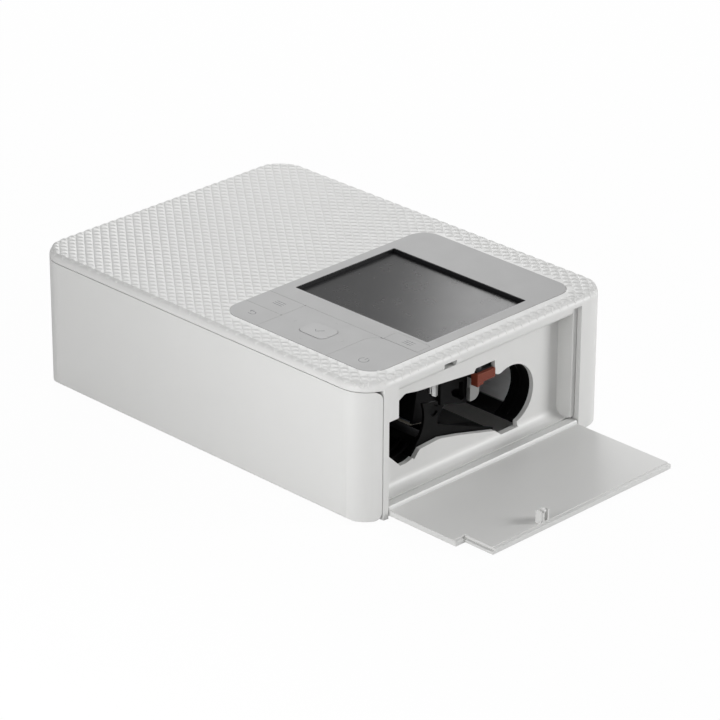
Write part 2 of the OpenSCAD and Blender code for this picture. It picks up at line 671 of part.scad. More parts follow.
module side_door() color([0.92, 0.92, 0.91]) place() {
    y0 = door_y0 + door_gap;
    y1 = door_y1 - door_gap;
    z1 = door_axis_z;
    z0 = z1 - door_t;
    barrel_h = 1.5;
    difference() {
        union() {
            box(door_axis_x, door_free, y0, y1, z0, z1);
            // barrel with a flat top
            difference() {
                rod_y(door_axis_x, door_axis_z, door_t, y0, y1);
                box(door_axis_x - 3, door_axis_x + 3, y0 - 1, y1 + 1, z1 + barrel_h, z1 + 3);
            }
            box(door_axis_x, door_axis_x + 1.7, y0, y1, z1 - 0.5, z1 + barrel_h);
            // latch hook: a deep front rib, a nosed post and a rear rib
            box(hook_x - 1.4, hook_x + 1.1, latch_y - hook_w / 2, latch_y - hook_w / 2 + 0.9,
                z1 - 1, z1 + hook_h - 0.5);
            box(hook_x - 1, hook_x + 0.3, latch_y - 0.6, latch_y + 0.6, z1 - 1, z1 + hook_h);
            rod_y(hook_x + 0.3, z1 + hook_h - 1.2, 0.8, latch_y - 0.6, latch_y + 0.6);
            box(hook_x - 1.2, hook_x + 0.8, latch_y + hook_w / 2 - 0.8, latch_y + hook_w / 2,
                z1 - 1, z1 + hook_h - 1);
        }
        box(notch_x, door_free + 1, y0 - 1, notch_y, z0 - 1, z1 + 1);
        for (s = [0, 1]) rod_y(door_axis_x, door_axis_z, door_pin_r + run,
            s ? y1 - 6 : y0 - 1, s ? y1 + 1 : y0 + 6);
        // shallow step along the notch and the free edges
        box(door_free - 1.6, door_free + 1, y0 - 1, y1 + 1, z1 - 0.3, z1 + 1);
        box(notch_x - 1.4, notch_x + 1, y0 - 1, notch_y + 1.4, z1 - 0.3, z1 + 1);
        box(notch_x - 1.4, door_free + 1, notch_y - 1, notch_y + 1.3, z1 - 1.1, z1 + 1);
    }
}

module door_hinge_pins() color([0.75, 0.75, 0.77]) place() {
    rod_y(door_axis_x, door_axis_z, door_pin_r, door_y0 - 2.2, door_y0 + door_gap + 5.6);
    rod_y(door_axis_x, door_axis_z, door_pin_r, door_y1 - door_gap - 5.6, door_y1 + 2.8);
}

// ---------- control panel ----------

// Outline of a key, cut to the outline of the panel
module key_shape(k, grow = 0) {
    intersection() {
        translate([(k[0] + k[2]) / 2, (k[1] + k[3]) / 2])
            rounded_rect(k[2] - k[0] + 2 * grow, k[3] - k[1] + 2 * grow, k[4] + grow);
        translate([panel_cx, panel_cy]) rounded_rect(panel_w, panel_d, panel_r);
    }
}

module control_panel() color([0.85, 0.85, 0.85]) place() {
    difference() {
        translate([0, 0, panel_under]) linear_extrude(panel_t)
            translate([panel_cx, panel_cy]) rounded_rect(panel_w, panel_d, panel_r);
        translate([screen_cx, screen_cy, 0]) linear_extrude(case_h + 5) rounded_rect(screen_w, screen_d, 0.8);
        // the whole front strip belongs to the keys
        box(panel_x0 - 1, panel_x0 + panel_w + 1, panel_y0 - 1, key_rear + key_gap, 0, case_h);
        translate([0, 0, panel_under - 1]) linear_extrude(panel_t + 5) key_shape(edit_box, key_gap);
    }
}

// A key's plate and its stem over the switch at p
module key(p, rise) {
    z0 = panel_under + key_travel + 0.1;
    foot_z = key_board_z + 1.9 + key_travel;
    translate([0, 0, z0]) linear_extrude(panel_z + rise - z0) children();
    translate([p[0], p[1], foot_z]) cylinder(r = 1.6, h = z0 + 0.2 - foot_z);
}

module ok_key() color([0.88, 0.88, 0.88]) place() key(ok_at, case_h - panel_z) key_shape(ok_box);

module arrow_key() color([0.85, 0.85, 0.85]) place() {
    z0 = panel_under + key_travel + 0.1;
    foot_z = key_board_z + 1.9 + key_travel;
    translate([0, 0, z0]) linear_extrude(panel_z - z0) difference() {
        key_shape(arrow_box);
        key_shape(ok_box, key_gap);
        key_shape(power_box, key_gap);
    }
    for (p = arrow_switches())
        translate([p[0], p[1], foot_z]) cylinder(r = 1.2, h = z0 + 0.2 - foot_z);
}

function arrow_switches() = [for (a = [0 : 90 : 270]) ok_at + [11 * cos(a), 8 * sin(a)]];

module menu_key() color([0.85, 0.85, 0.85]) place() key(menu_at, 0) key_shape(menu_box);
module back_key() color([0.85, 0.85, 0.85]) place() key(back_at, 0) key_shape(back_box);
module edit_key() color([0.85, 0.85, 0.85]) place() key(edit_at, 0) key_shape(edit_box);
module power_key() color([0.85, 0.85, 0.85]) place() key(power_at, 0) key_shape(power_box);

module screen_glass() color([0.25, 0.25, 0.26]) place()
    translate([screen_cx, screen_cy, tray_z + 1]) linear_extrude(panel_z - screen_sink - tray_z - 1)
        square([screen_w - 0.6, screen_d - 0.6], center = true);

// Steel tray below the glass, held up under the rim of the panel
module screen_tray() color([0.7, 0.71, 0.72]) place() {
    difference() {
        translate([screen_cx, screen_cy, tray_z]) linear_extrude(panel_under - tray_z)
            square([screen_w + 3, screen_d + 3], center = true);
        translate([screen_cx, screen_cy, tray_z + 1]) linear_extrude(10)
            square([screen_w + 0.6, screen_d + 0.6], center = true);
    }
}

module key_board() color([0.1, 0.35, 0.2]) place() {
    switches = concat([menu_at, back_at, ok_at, edit_at, power_at], arrow_switches());
    translate([panel_cx, panel_y0 + 17.1, key_board_z]) linear_extrude(1.2)
        square([panel_w - 6, 29.4], center = true);
    for (k = switches) translate([k[0], k[1], key_board_z + 1.2]) {
        translate([-2, -2, 0]) cube([4, 4, 0.4]);
        cylinder(r = 1.1, h = 0.65);
    }
    // posts up to the strip of the panel behind the keys
    for (x = [7, 31, 55])
        translate([panel_x0 + x, key_rear + 3.6, key_board_z + 1.2])
            cylinder(r = 1.2, h = panel_under - key_board_z - 1.2);
}

// ---------- ink bay ----------

// Raised rings inside one spool bay
module spool_rings(p, r) {
    for (x = [bay_x1 - 5, bay_x1 - 9])
        along_x(x, x + 1) difference() {
            translate(p) circle(r + 0.4);
            translate(p) circle(r - 0.8);
        }
}

// Section of the rib across the near end of the bay: a post beside the front spool,
// then a sloping top edge down to the rear bay
module bay_rib() {
    f = front_spool;
    r = rear_spool;
    intersection() {
        union() {
            bay_opening();
            bay_shell();
        }
        difference() {
            polygon([[f[0], f[1] - 15], [f[0] + 13.5, f[1] + 5.4], [print_y + 1.3, f[1] + 3.8],
                [print_y + 1.3, hump_z + 5], [r[0] - 6.6, 10.2], [r[0] - 6.6, 8.8], [r[0] - 8.6, 9.6],
                [print_y + 10.8, 14.6], [print_y, hump_z - 0.6], [f[0] + 9.7, hump_z - 1]]);
            translate(f) circle(front_spool_r);
            translate([print_y - 0.9, f[1] + 0.7]) circle(2.4);
        }
    }
}

// Part of the bay's section that the metal sheet takes, floor and rear wall
module sheet_zone() {
    polygon([[print_y + 14.6, 3], [rear_spool[0] + 20, 3], [rear_spool[0] + 20, 30],
        [rear_spool[0] + 9, 30], [rear_spool[0], 22], [print_y + 14.6, 20]]);
}
sheet_x0 = bay_x0 + 8;
sheet_x1 = bay_x1 - 9.6;

module ink_bay() color([0.06, 0.06, 0.06]) place() {
    difference() {
        union() {
            along_x(bay_x0, bay_x1) bay_shell();
            intersection() {
                spool_rings(rear_spool, rear_spool_r);
                box(bay_x0, bay_x1, rear_spool[0] + 5, rear_spool[0] + 25, 8, 36);
            }
            intersection() {
                spool_rings(front_spool, front_spool_r);
                box(bay_x0, bay_x1, front_spool[0] - 20, front_spool[0] + 9.5,
                    front_spool[1] - front_spool_r - liner_t + 0.3, front_spool[1] - 4);
            }
            along_x(bay_x1 - 1.8, bay_x1 - 0.6) bay_rib();
        }
        // slots for the platen, the feed roller and the pinch roller
        box(paper_cx - paper_w / 2 - 3, paper_cx + paper_w / 2 + 3, print_y - platen_r - 0.8,
            print_y + platen_r + 0.8, 5, hump_z + 4);
        // window in the floor and the rear wall, closed by the metal sheet
        along_x(sheet_x0, sheet_x1) sheet_zone();
    }
}

module bay_back_sheet() color([0.75, 0.76, 0.78]) place()
    along_x(sheet_x0, sheet_x1) intersection() {
        bay_shell();
        sheet_zone();
    }

// Cassette lock: a brown catch in its notch, a black slide behind it and a white arm
lever_face = recess_x + 0.6;
module lock_lever() color([0.5, 0.27, 0.2]) place() {
    y0 = lever_y0 + 0.4;
    z1 = passage_top - 2.1;
    box(lever_face - 1.6, lever_face, y0, lever_y0 + lever_w - 0.3, z1 - 3.7, z1);
    box(lever_face - 3.4, lever_face, y0, y0 + 1.2, z1 - 5.1, z1 - 0.2);
    box(lever_face - 3, lever_face - 0.4, y0, y0 + 3.7, z1 - 5, z1 - 3.5);
}

module lever_slide() color([0.07, 0.07, 0.07]) place()
    box(recess_x - 6.4, lever_face - 1.6, lever_y0 + 1.6, lever_y0 + lever_w - 0.8,
        passage_top - 5.3, passage_top - 1.5);

module lock_arm() color([0.9, 0.9, 0.9]) place() {
    y = lever_y0 + 1.7;
    z = passage_top - 15.3;
    w = 5.1;
    r = 3.1;
    along_x(recess_x - 6.2, recess_x - 4.4) {
        translate([y, z + r]) square([w, 10 - r]);
        translate([y, z]) square([w - r, 10]);
        translate([y + w - r, z + r]) circle(r);
    }
}

module lever_spring() color([0.7, 0.7, 0.72]) place()
    translate([recess_x - 4.4, lever_y0 + lever_w / 2, passage_top - 1.5])
        difference() {
            cylinder(r = 1.9, h = 3.2);
            translate([0, 0, -1]) cylinder(r = 1.5, h = 6);
        }

// Black clip behind the latch slot that takes the door's hook
module latch_catch() color([0.07, 0.07, 0.07]) place() difference() {
    box(recess_x + 0.2, slot_back - 0.1, latch_y - catch_w / 2, latch_y + catch_w / 2,
        slot_z0, slot_z1 + 0.4);
    box(recess_x + 1, slot_back + 1, latch_y - hook_w / 2 - 0.7, latch_y + hook_w / 2 + 0.7,
        slot_z0 - 1, slot_z1);
}

// ---------- frame and rollers ----------

roller_points = [platen_at, feed_at, grip_at, pinch_at];
function bush_size(p) = p == pinch_at ? pinch_bush_r : bush_r;

module left_frame() color([0.72, 0.73, 0.74]) place() {
    x = left_x;
    difference() {
        union() {
            box(x - plate_t, x, print_y - 38, print_y + 62, floor_z, frame_top);
            for (y = [print_y - 38, print_y + 26])
                box(x - 7, x, y, y + 31, floor_z, floor_z + plate_t);
            box(x - 8, x, print_y - 10, print_y + 40, frame_top - plate_t, frame_top);
        }
        for (p = roller_points) rod_x(p, bush_size(p), x - 3, x + 1);
        for (p = [rear_spool, front_spool]) rod_x(p, hub_r + run, x - 3, x + 1);
        for (p = [idler_at, second_at]) rod_x(p, stud_r, x - 3, x + 1);
        rod_x(head_pivot, 1.5, x - 3, x + 1);
    }
}

module right_frame() color([0.72, 0.73, 0.74]) place() {
    x = right_x;
    difference() {
        union() {
            box(x, x + plate_t, print_y - 16, print_y + 17, floor_z, 12.4);
            box(x - 5, x + plate_t, print_y - 16, print_y + 17, floor_z, floor_z + plate_t);
        }
        for (p = roller_points) rod_x(p, bush_size(p), x - 1, x + 3);
    }
}

module roller_bushes() color([0.93, 0.93, 0.9]) place()
    for (p = roller_points, x = [left_x - plate_t, right_x])
        difference() {
            rod_x(p, bush_size(p), x, x + plate_t);
            rod_x(p, (p == pinch_at ? pinch_shaft_r : shaft_r) + run, x - 1, x + 3);
        }

module platen_shaft() color([0.78, 0.78, 0.8]) place()
    rod_x(platen_at, shaft_r, gear_x, right_x + plate_t + 0.6);

module platen_rubber() color([0.1, 0.1, 0.1]) place() difference() {
    rod_x(platen_at, platen_r, roll_x0, roll_x1);
    rod_x(platen_at, shaft_r, roll_x0 - 1, roll_x1 + 1);
}

module platen_gear() color([0.9, 0.9, 0.86]) place() gear(platen_at, roller_teeth, gear_x, shaft_r, platen_turn);

module feed_shaft() color([0.78, 0.78, 0.8]) place()
    rod_x(feed_at, shaft_r, left_x - plate_t - 0.6, right_x + plate_t + 0.6);

module feed_rubber() color([0.15, 0.15, 0.15]) place() difference() {
    rod_x(feed_at, feed_r, paper_cx - 12, paper_cx + 12);
    rod_x(feed_at, shaft_r, paper_cx - 13, paper_cx + 13);
    box(paper_cx - 13, paper_cx + 13, feed_at[0] - 6, feed_at[0] + 6, feed_at[1] + 2.7, feed_at[1] + 6);
}

module grip_roller() color([0.75, 0.76, 0.78]) place() {
    rod_x(grip_at, grip_r, roll_x0, roll_x1);
    rod_x(grip_at, shaft_r, gear_x, right_x + plate_t + 0.6);
}

module grip_gear() color([0.9, 0.9, 0.86]) place() gear(grip_at, roller_teeth, gear_x, shaft_r, grip_turn);

module pinch_roller() color([0.6, 0.6, 0.62]) place() {
    rod_x(pinch_at, pinch_r, roll_x0 + 2, roll_x1 - 2);
    rod_x(pinch_at, pinch_shaft_r, left_x - plate_t - 0.4, right_x + plate_t + 0.4);
}

module paper_guide() color([0.12, 0.12, 0.12]) place() {
    for (s = [-1, 1]) translate([paper_cx + s * (bay_len / 2 - guide_inset), 0, 0])
        box(-0.8, 0.8, front_y + 14, print_y - 16.5, floor_z, feed_at[1] + 1);
}

// ---------- thermal head ----------

module lifted() {
    translate([0, head_pivot[0], head_pivot[1]]) rotate([-head_lift, 0, 0])
        translate([0, -head_pivot[0], -head_pivot[1]]) children();
}

module head_arm() color([0.2, 0.2, 0.21]) place() {
    lifted() difference() {
        union() {
            for (x = [head_x0, head_x1 - plate_t])
                along_x(x, x + plate_t) {
                    polygon([[print_y - 3, head_tip + 2], [print_y + 11, head_tip + 2],
                        [head_pivot[0] + 3, head_pivot[1] - 1], [head_pivot[0], head_pivot[1] + 3],
                        [head_pivot[0] - 6, head_pivot[1] + 3], [print_y - 3, head_tip + 17]]);
                    translate(head_pivot) circle(3);
                }
            box(head_x0, head_x1, print_y - 3, print_y - 1.8, head_tip + 3, head_tip + 16);
        }
        rod_x(head_pivot, 1.5 + run, head_x0 - 1, head_x1 + 1);
    }
    head_stay();
}

// Block on the near end of the arm, with a hooked hole for the lifting spring
module head_stay() {
    y0 = head_pivot[0] - 9.9;
    y1 = head_pivot[0] + 5;
    z0 = head_pivot[1] - 14.8;
    h = [head_pivot[0] - 0.1, head_pivot[1] - 8.2];
    difference() {
        along_x(head_x1 - 0.4, stay_x1) difference() {
            polygon([[y0, head_pivot[1] + 3], [y0, z0 + 3.6], [y0 + 1.8, z0 + 3.2], [y1 - 1.2, z0],
                [y1, z0 + 1], [y1, head_pivot[1] + 3]]);
            polygon([[h[0] - 4, h[1] + 0.8], [h[0] - 2.4, h[1] + 1.2], [h[0] + 0.2, h[1] + 0.5],
                [h[0] + 0.2, h[1] + 3.3], [h[0] + 2.4, h[1] + 2.8], [h[0] + 2.4, h[1] - 0.4],
                [h[0] + 3.2, h[1] - 4.2], [h[0] + 1.6, h[1] - 4.6], [h[0] - 3.4, h[1] - 1.2]]);
        }
        rod_x(head_pivot, 1.5 + run, head_x1 - 1, stay_x1 + 1);
    }
}

module heat_sink() color([0.7, 0.71, 0.73]) place() lifted() {
    x0 = head_x0 + plate_t + 0.2;
    x1 = head_x1 - plate_t - 0.2;
    box(x0, x1, print_y - 1.8, print_y + 10.4, head_tip + 1.8, head_tip + 4.8);
    for (i = [0 : 4])
        box(x0, x1, print_y - 1.2 + i * 2.6, print_y - 0.2 + i * 2.6, head_tip + 4.6, head_tip + 12);
}

module thermal_head() color([0.85, 0.84, 0.8]) place() lifted() {
    x0 = head_x0 + 4;
    x1 = head_x1 - 2;
    box(x0, x1, print_y - 1.8, print_y + 8, head_tip + 0.8, head_tip + 1.8);
    intersection() {
        rod_x([print_y, head_tip + 1.4], 1.4, x0 + 2, x1 - 2);
        box(x0, x1, print_y - 3, print_y + 3, head_tip - 1, head_tip + 1);
    }
}

module head_pivots() color([0.78, 0.78, 0.8]) place()
    rod_x(head_pivot, 1.5, left_x - plate_t, stay_x1 + 0.3);

// Flat white cable in two strands, rising from the end of the head
module head_cable() color([0.92, 0.92, 0.92]) place()
    along_x(head_x1, head_x1 + 0.6) {
        polygon([[print_y + 3.9, 31.2], [print_y + 5.9, 30], [print_y + 7.05, 30.3],
            [print_y + 7.05, 38], [print_y + 4.1, 38]]);
        polygon([[print_y + 2.8, 32.4], [print_y + 3.2, 32.2], [print_y + 3.6, 38], [print_y + 3.2, 38]]);
    }

// ---------- ribbon hubs, gears and motor ----------

// Splined hub that carries a spool, turning in the left frame
module hub(p) {
    x1 = left_x + 14;
    rod_x(p, hub_r, left_x - plate_t - 0.6, x1 - 3);
    rod_x(p, hub_r + 2.4, left_x + 0.4, left_x + 1.8);
    translate([x1 - 3, p[0], p[1]]) rotate([0, 90, 0]) cylinder(r1 = hub_r, r2 = hub_r - 1.6, h = 3);
    for (a = [0 : 60 : 300]) translate([x1 - 8, p[0], p[1]]) rotate([a, 0, 0])
        translate([0, -0.6, 0]) cube([5, 1.2, hub_r + 0.9]);
}

module takeup_hub() color([0.9, 0.9, 0.88]) place() {
    hub(rear_spool);
    rod_x(rear_spool, 2, gear_x - 0.8, left_x - plate_t);
}

module supply_hub() color([0.9, 0.9, 0.88]) place() {
    hub(front_spool);
    rod_x(front_spool, hub_r + 1, left_x - plate_t - 1.8, left_x - plate_t - 0.6);
}

module takeup_gear() color([0.9, 0.9, 0.86]) place()
    gear(takeup_at, takeup_teeth, gear_x, 2, takeup_turn);

module idler_gear() color([0.93, 0.93, 0.9]) place()
    gear(idler_at, idler_teeth, gear_x, stud_r + run, 0);

module second_gear() color([0.93, 0.93, 0.9]) place()
    gear(second_at, second_teeth, gear_x, stud_r + run, second_turn);

module motor_pinion() color([0.8, 0.66, 0.35]) place()
    gear(pinion_at, pinion_teeth, gear_x, 1, pinion_turn);

module gear_studs() color([0.78, 0.78, 0.8]) place()
    for (p = [idler_at, second_at]) {
        rod_x(p, stud_r, gear_x - 0.4, left_x);
        rod_x(p, stud_r + 1, gear_x - 1.2, gear_x - 0.4);
    }

module motor() color([0.75, 0.75, 0.76]) place() difference() {
    union() {
        rod_x(pinion_at, motor_r, bracket_x - plate_t - motor_len, bracket_x - plate_t);
        rod_x(pinion_at, 3.5, bracket_x - plate_t - 0.5, bracket_x);
        rod_x(pinion_at, 4.5, bracket_x - plate_t - motor_len - 2, bracket_x - plate_t - motor_len + 1);
    }
    rod_x(pinion_at, 1 + run, bracket_x - plate_t - 12, bracket_x + 1);
}

module motor_shaft() color([0.8, 0.8, 0.82]) place()
    rod_x(pinion_at, 1, bracket_x - plate_t - 11, gear_x + gear_w + 0.5);

// Steel angle that carries the motor
module motor_bracket() color([0.72, 0.73, 0.74]) place() difference() {
    union() {
        box(bracket_x - plate_t, bracket_x, pinion_at[0] - 14, pinion_at[0] + 8, floor_z, pinion_at[1] + 14);
        box(bracket_x - plate_t - 9, bracket_x, pinion_at[0] - 14, pinion_at[0] + 8, floor_z, floor_z + plate_t);
    }
    rod_x(pinion_at, 3.5, bracket_x - 3, bracket_x + 1);
    for (a = [90, 270]) rod_x(pinion_at + [0, 8 * sin(a)], 1.3, bracket_x - 3, bracket_x + 1);
}

// ---------- electronics ----------

module main_board() color([0.08, 0.33, 0.2]) place()
    difference() {
        box(board_x0, board_x1, front_y + 12, back_y - 22, board_z, board_z + board_t);
        translate([screw_at[2][0], screw_at[2][1], 0]) cylinder(r = boss_r, h = case_h);
    }

module board_spacers() color([0.9, 0.9, 0.88]) place()
    for (y = [print_y - 4, print_y + 34])
        translate([left_x - 5, y, frame_top]) cylinder(r = 2.2, h = board_z - frame_top);

module board_parts() color([0.12, 0.12, 0.13]) place() {
    z = board_z + board_t;
    x1 = board_x1 - 3;
    box(x1 - 14, x1, -4, 10, z, z + 1.4);
    box(x1 - 10, x1, 18, 26, z, z + 1.2);
    box(board_cx - 8, board_cx + 2, -49, -39, z, z + 1.2);
    pitch = (board_x1 - board_x0 - 14) / 3;
    for (i = [0 : 3]) translate([board_x0 + 6 + i * pitch, 32, z]) cylinder(r = 2.6, h = 5.4);
}

module card_slot() color([0.6, 0.61, 0.62]) place() difference() {
    box(-face_x + wall + 0.2, -face_x + 27, card_y - 14, card_y + 14, board_z + board_t, board_z + 5.4);
    box(-face_x - 1, -face_x + 26, card_y - 12.2, card_y + 12.2, board_z + 2.4, board_z + 4.8);
}

module usb_port() color([0.72, 0.73, 0.74]) place() difference() {
    box(-face_x + 1, -face_x + 8.5, usb_y - 4.5, usb_y + 4.5, board_z + board_t, board_z + 5);
    box(-face_x, -face_x + 7.5, usb_y - 4.1, usb_y + 4.1, board_z + board_t + 0.4, board_z + 4.6);
}

// Socket body through the rear wall, with a flange behind it
module power_inlet() color([0.08, 0.08, 0.08]) place() difference() {
    union() {
        box(inlet_x - 5.8, inlet_x + 5.8, back_y - 14, back_y - 0.4, inlet_z - 4.6, inlet_z + 4.6);
        box(inlet_x - 7.4, inlet_x + 7.4, back_y - wall - 1.7, back_y - wall - 0.1,
            inlet_z - 6.2, inlet_z + 6.2);
    }
    rod_y(inlet_x, inlet_z, inlet_r, back_y - 0.4 - inlet_depth, back_y + 1);
}

// ---------- assembly ----------

upper_case();
base_plate();
front_panel();
side_frame();
rubber_feet();
case_screws();
front_cover();
front_hinge_pins();
side_door();
door_hinge_pins();
control_panel();
screen_glass();
screen_tray();
key_board();
ok_key();
arrow_key();
menu_key();
back_key();
edit_key();
power_key();
ink_bay();
bay_back_sheet();
lock_lever();
lever_slide();
lock_arm();
lever_spring();
latch_catch();
left_frame();
right_frame();
roller_bushes();
platen_shaft();
platen_rubber();
platen_gear();
feed_shaft();
feed_rubber();
grip_roller();
grip_gear();
pinch_roller();
head_arm();
heat_sink();
thermal_head();
head_pivots();
head_cable();
takeup_hub();
takeup_gear();
supply_hub();
idler_gear();
second_gear();
gear_studs();
motor();
motor_shaft();
motor_pinion();
motor_bracket();
main_board();
board_spacers();
board_parts();
power_inlet();
usb_port();
card_slot();
paper_guide();
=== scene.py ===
import json
import math

import bmesh
import bpy
from mathutils import Matrix, Vector

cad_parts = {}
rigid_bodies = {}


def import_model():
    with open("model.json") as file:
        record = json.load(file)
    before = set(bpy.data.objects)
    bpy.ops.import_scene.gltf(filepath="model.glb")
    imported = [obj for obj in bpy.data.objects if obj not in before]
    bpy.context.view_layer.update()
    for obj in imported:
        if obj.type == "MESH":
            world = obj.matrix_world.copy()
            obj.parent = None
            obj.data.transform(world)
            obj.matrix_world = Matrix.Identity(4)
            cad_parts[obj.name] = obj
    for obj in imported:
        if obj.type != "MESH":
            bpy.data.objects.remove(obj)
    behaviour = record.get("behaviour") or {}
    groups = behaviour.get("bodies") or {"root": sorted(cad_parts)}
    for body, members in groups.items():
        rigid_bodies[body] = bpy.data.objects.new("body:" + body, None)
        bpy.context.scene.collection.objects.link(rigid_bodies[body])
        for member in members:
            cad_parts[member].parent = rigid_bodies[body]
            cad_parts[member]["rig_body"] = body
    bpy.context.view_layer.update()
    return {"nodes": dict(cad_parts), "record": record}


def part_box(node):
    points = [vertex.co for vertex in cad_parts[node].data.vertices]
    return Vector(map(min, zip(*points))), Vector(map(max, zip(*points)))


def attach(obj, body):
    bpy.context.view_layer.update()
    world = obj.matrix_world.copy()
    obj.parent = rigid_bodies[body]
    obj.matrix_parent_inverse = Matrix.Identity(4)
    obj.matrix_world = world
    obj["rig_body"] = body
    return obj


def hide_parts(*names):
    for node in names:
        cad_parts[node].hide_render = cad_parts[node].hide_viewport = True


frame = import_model()

MM = 0.001
nodes = frame["nodes"]


# ---------------------------------------------------------------- places taken from the frame

def joint_box(*names):
    """Box round several nodes together."""
    boxes = [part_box(name) for name in names]
    low = Vector([min(box[0][axis] for box in boxes) for axis in range(3)])
    high = Vector([max(box[1][axis] for box in boxes) for axis in range(3)])
    return low, high


case_low, case_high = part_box("upper_case")
panel_low, panel_high = joint_box("control_panel", "back_key", "power_key")
case_mid = (case_low + case_high) / 2
panel_mid = (panel_low + panel_high) / 2
top_z = case_high.z

CASE_CORNER = 12.8 * MM
PANEL_CORNER = 8.2 * MM


# ---------------------------------------------------------------- camera

AIM = Vector((-9.58, 7.6, 19.16)) * MM
DISTANCE = 1.430
AZIMUTH = math.radians(44.83)
ELEVATION = math.radians(25.18)
ROLL = math.radians(0.3)
SENSOR_MM = 36
LENS_MM = 183.6

towards_camera = Vector((
    math.sin(AZIMUTH) * math.cos(ELEVATION),
    -math.cos(AZIMUTH) * math.cos(ELEVATION),
    math.sin(ELEVATION),
))
camera = bpy.data.objects.new("camera", bpy.data.cameras.new("camera"))
bpy.context.scene.collection.objects.link(camera)
camera.data.sensor_width = SENSOR_MM
camera.data.lens = LENS_MM
camera.data.clip_start = 0.05
camera.location = AIM + towards_camera * DISTANCE
camera.rotation_euler = (
    Matrix.Rotation(AZIMUTH, 3, "Z")
    @ Matrix.Rotation(math.pi / 2 - ELEVATION, 3, "X")
    @ Matrix.Rotation(ROLL, 3, "Z")
).to_euler()
bpy.context.scene.camera = camera
bpy.context.scene.view_settings.view_transform = "Standard"


# ---------------------------------------------------------------- node tree helpers

def new_material(name):
    material = bpy.data.materials.new(name)
    material.use_nodes = True
    tree = material.node_tree
    return material, tree, tree.nodes["Principled BSDF"], tree.nodes["Material Output"]


def add(tree, kind, **settings):
    node = tree.nodes.new(kind)
    for key, value in settings.items():
        if key in node.inputs:
            node.inputs[key].default_value = value
        else:
            setattr(node, key, value)
    return node


def math_node(tree, operation, a, b=None, clamp=False):
    node = tree.nodes.new("ShaderNodeMath")
    node.operation = operation
    node.use_clamp = clamp
    for socket, value in zip(node.inputs, (a, b)):
        if value is None:
            continue
        if isinstance(value, (int, float)):
            socket.default_value = value
        else:
            tree.links.new(value, socket)
    return node.outputs[0]


def set_input(tree, socket, value):
    if isinstance(value, bpy.types.NodeSocket):
        tree.links.new(value, socket)
    else:
        socket.default_value = value


def new_group(name, inputs, outputs):
    group = bpy.data.node_groups.new(name, "ShaderNodeTree")
    for label, kind, default in inputs:
        socket = group.interface.new_socket(label, in_out="INPUT", socket_type=kind)
        socket.default_value = default
    for label, kind in outputs:
        group.interface.new_socket(label, in_out="OUTPUT", socket_type=kind)
    return group, group.nodes.new("NodeGroupInput"), group.nodes.new("NodeGroupOutput")


def use_group(tree, group, **values):
    node = tree.nodes.new("ShaderNodeGroup")
    node.node_tree = group
    for key, value in values.items():
        node.inputs[key.replace("_", " ")].default_value = value
    return node


# ---------------------------------------------------------------- shared shader groups

def build_moulded_grain():
    """Fine spark-eroded grain and faint tone drift of moulded plastic."""
    group, start, end = new_group(
        "moulded_grain",
        [("Colour", "NodeSocketColor", (0.8, 0.8, 0.8, 1)), ("Grain size", "NodeSocketFloat", 2200.0),
         ("Drift", "NodeSocketFloat", 0.03), ("Roughness", "NodeSocketFloat", 0.45),
         ("Dust", "NodeSocketFloat", 0.0)],
        [("Colour", "NodeSocketColor"), ("Roughness", "NodeSocketFloat"), ("Height", "NodeSocketFloat")],
    )
    place = group.nodes.new("ShaderNodeTexCoord")
    grain = add(group, "ShaderNodeTexNoise", Detail=2.0, Roughness=0.6)
    group.links.new(start.outputs["Grain size"], grain.inputs["Scale"])
    slow = add(group, "ShaderNodeTexNoise", Scale=38.0, Detail=3.0, Roughness=0.55)
    smudge = add(group, "ShaderNodeTexNoise", Scale=120.0, Detail=4.0, Roughness=0.6)
    for texture in (grain, slow, smudge):
        group.links.new(place.outputs["Object"], texture.inputs["Vector"])
    drift = math_node(group, "MULTIPLY", math_node(group, "SUBTRACT", slow.outputs["Fac"], 0.5),
                      start.outputs["Drift"])
    patches = math_node(group, "SUBTRACT", smudge.outputs["Fac"], 0.52, clamp=True)
    speck = math_node(group, "MULTIPLY", patches, start.outputs["Dust"])
    value = math_node(group, "SUBTRACT", math_node(group, "ADD", drift, 1.0), speck)
    tone = add(group, "ShaderNodeHueSaturation")
    group.links.new(start.outputs["Colour"], tone.inputs["Color"])
    group.links.new(value, tone.inputs["Value"])
    group.links.new(tone.outputs["Color"], end.inputs["Colour"])
    uneven = math_node(group, "MULTIPLY", math_node(group, "SUBTRACT", smudge.outputs["Fac"], 0.5), 0.12)
    group.links.new(math_node(group, "ADD", start.outputs["Roughness"], uneven), end.inputs["Roughness"])
    group.links.new(grain.outputs["Fac"], end.inputs["Height"])
    return group


def build_edge_wear():
    """Mask of the proud edges, rubbed a little by handling."""
    group, start, end = new_group(
        "edge_wear",
        [("Reach", "NodeSocketFloat", 0.0006), ("Amount", "NodeSocketFloat", 0.5)],
        [("Mask", "NodeSocketFloat")],
    )
    bevel = add(group, "ShaderNodeBevel", samples=4)
    group.links.new(start.outputs["Reach"], bevel.inputs["Radius"])
    geometry = group.nodes.new("ShaderNodeNewGeometry")
    dot = group.nodes.new("ShaderNodeVectorMath")
    dot.operation = "DOT_PRODUCT"
    group.links.new(bevel.outputs["Normal"], dot.inputs[0])
    group.links.new(geometry.outputs["Normal"], dot.inputs[1])
    bend = math_node(group, "SUBTRACT", 1.0, dot.outputs["Value"], clamp=True)
    scaled = math_node(group, "MULTIPLY", bend, 4.0, clamp=True)
    group.links.new(math_node(group, "MULTIPLY", scaled, start.outputs["Amount"]), end.inputs["Mask"])
    return group


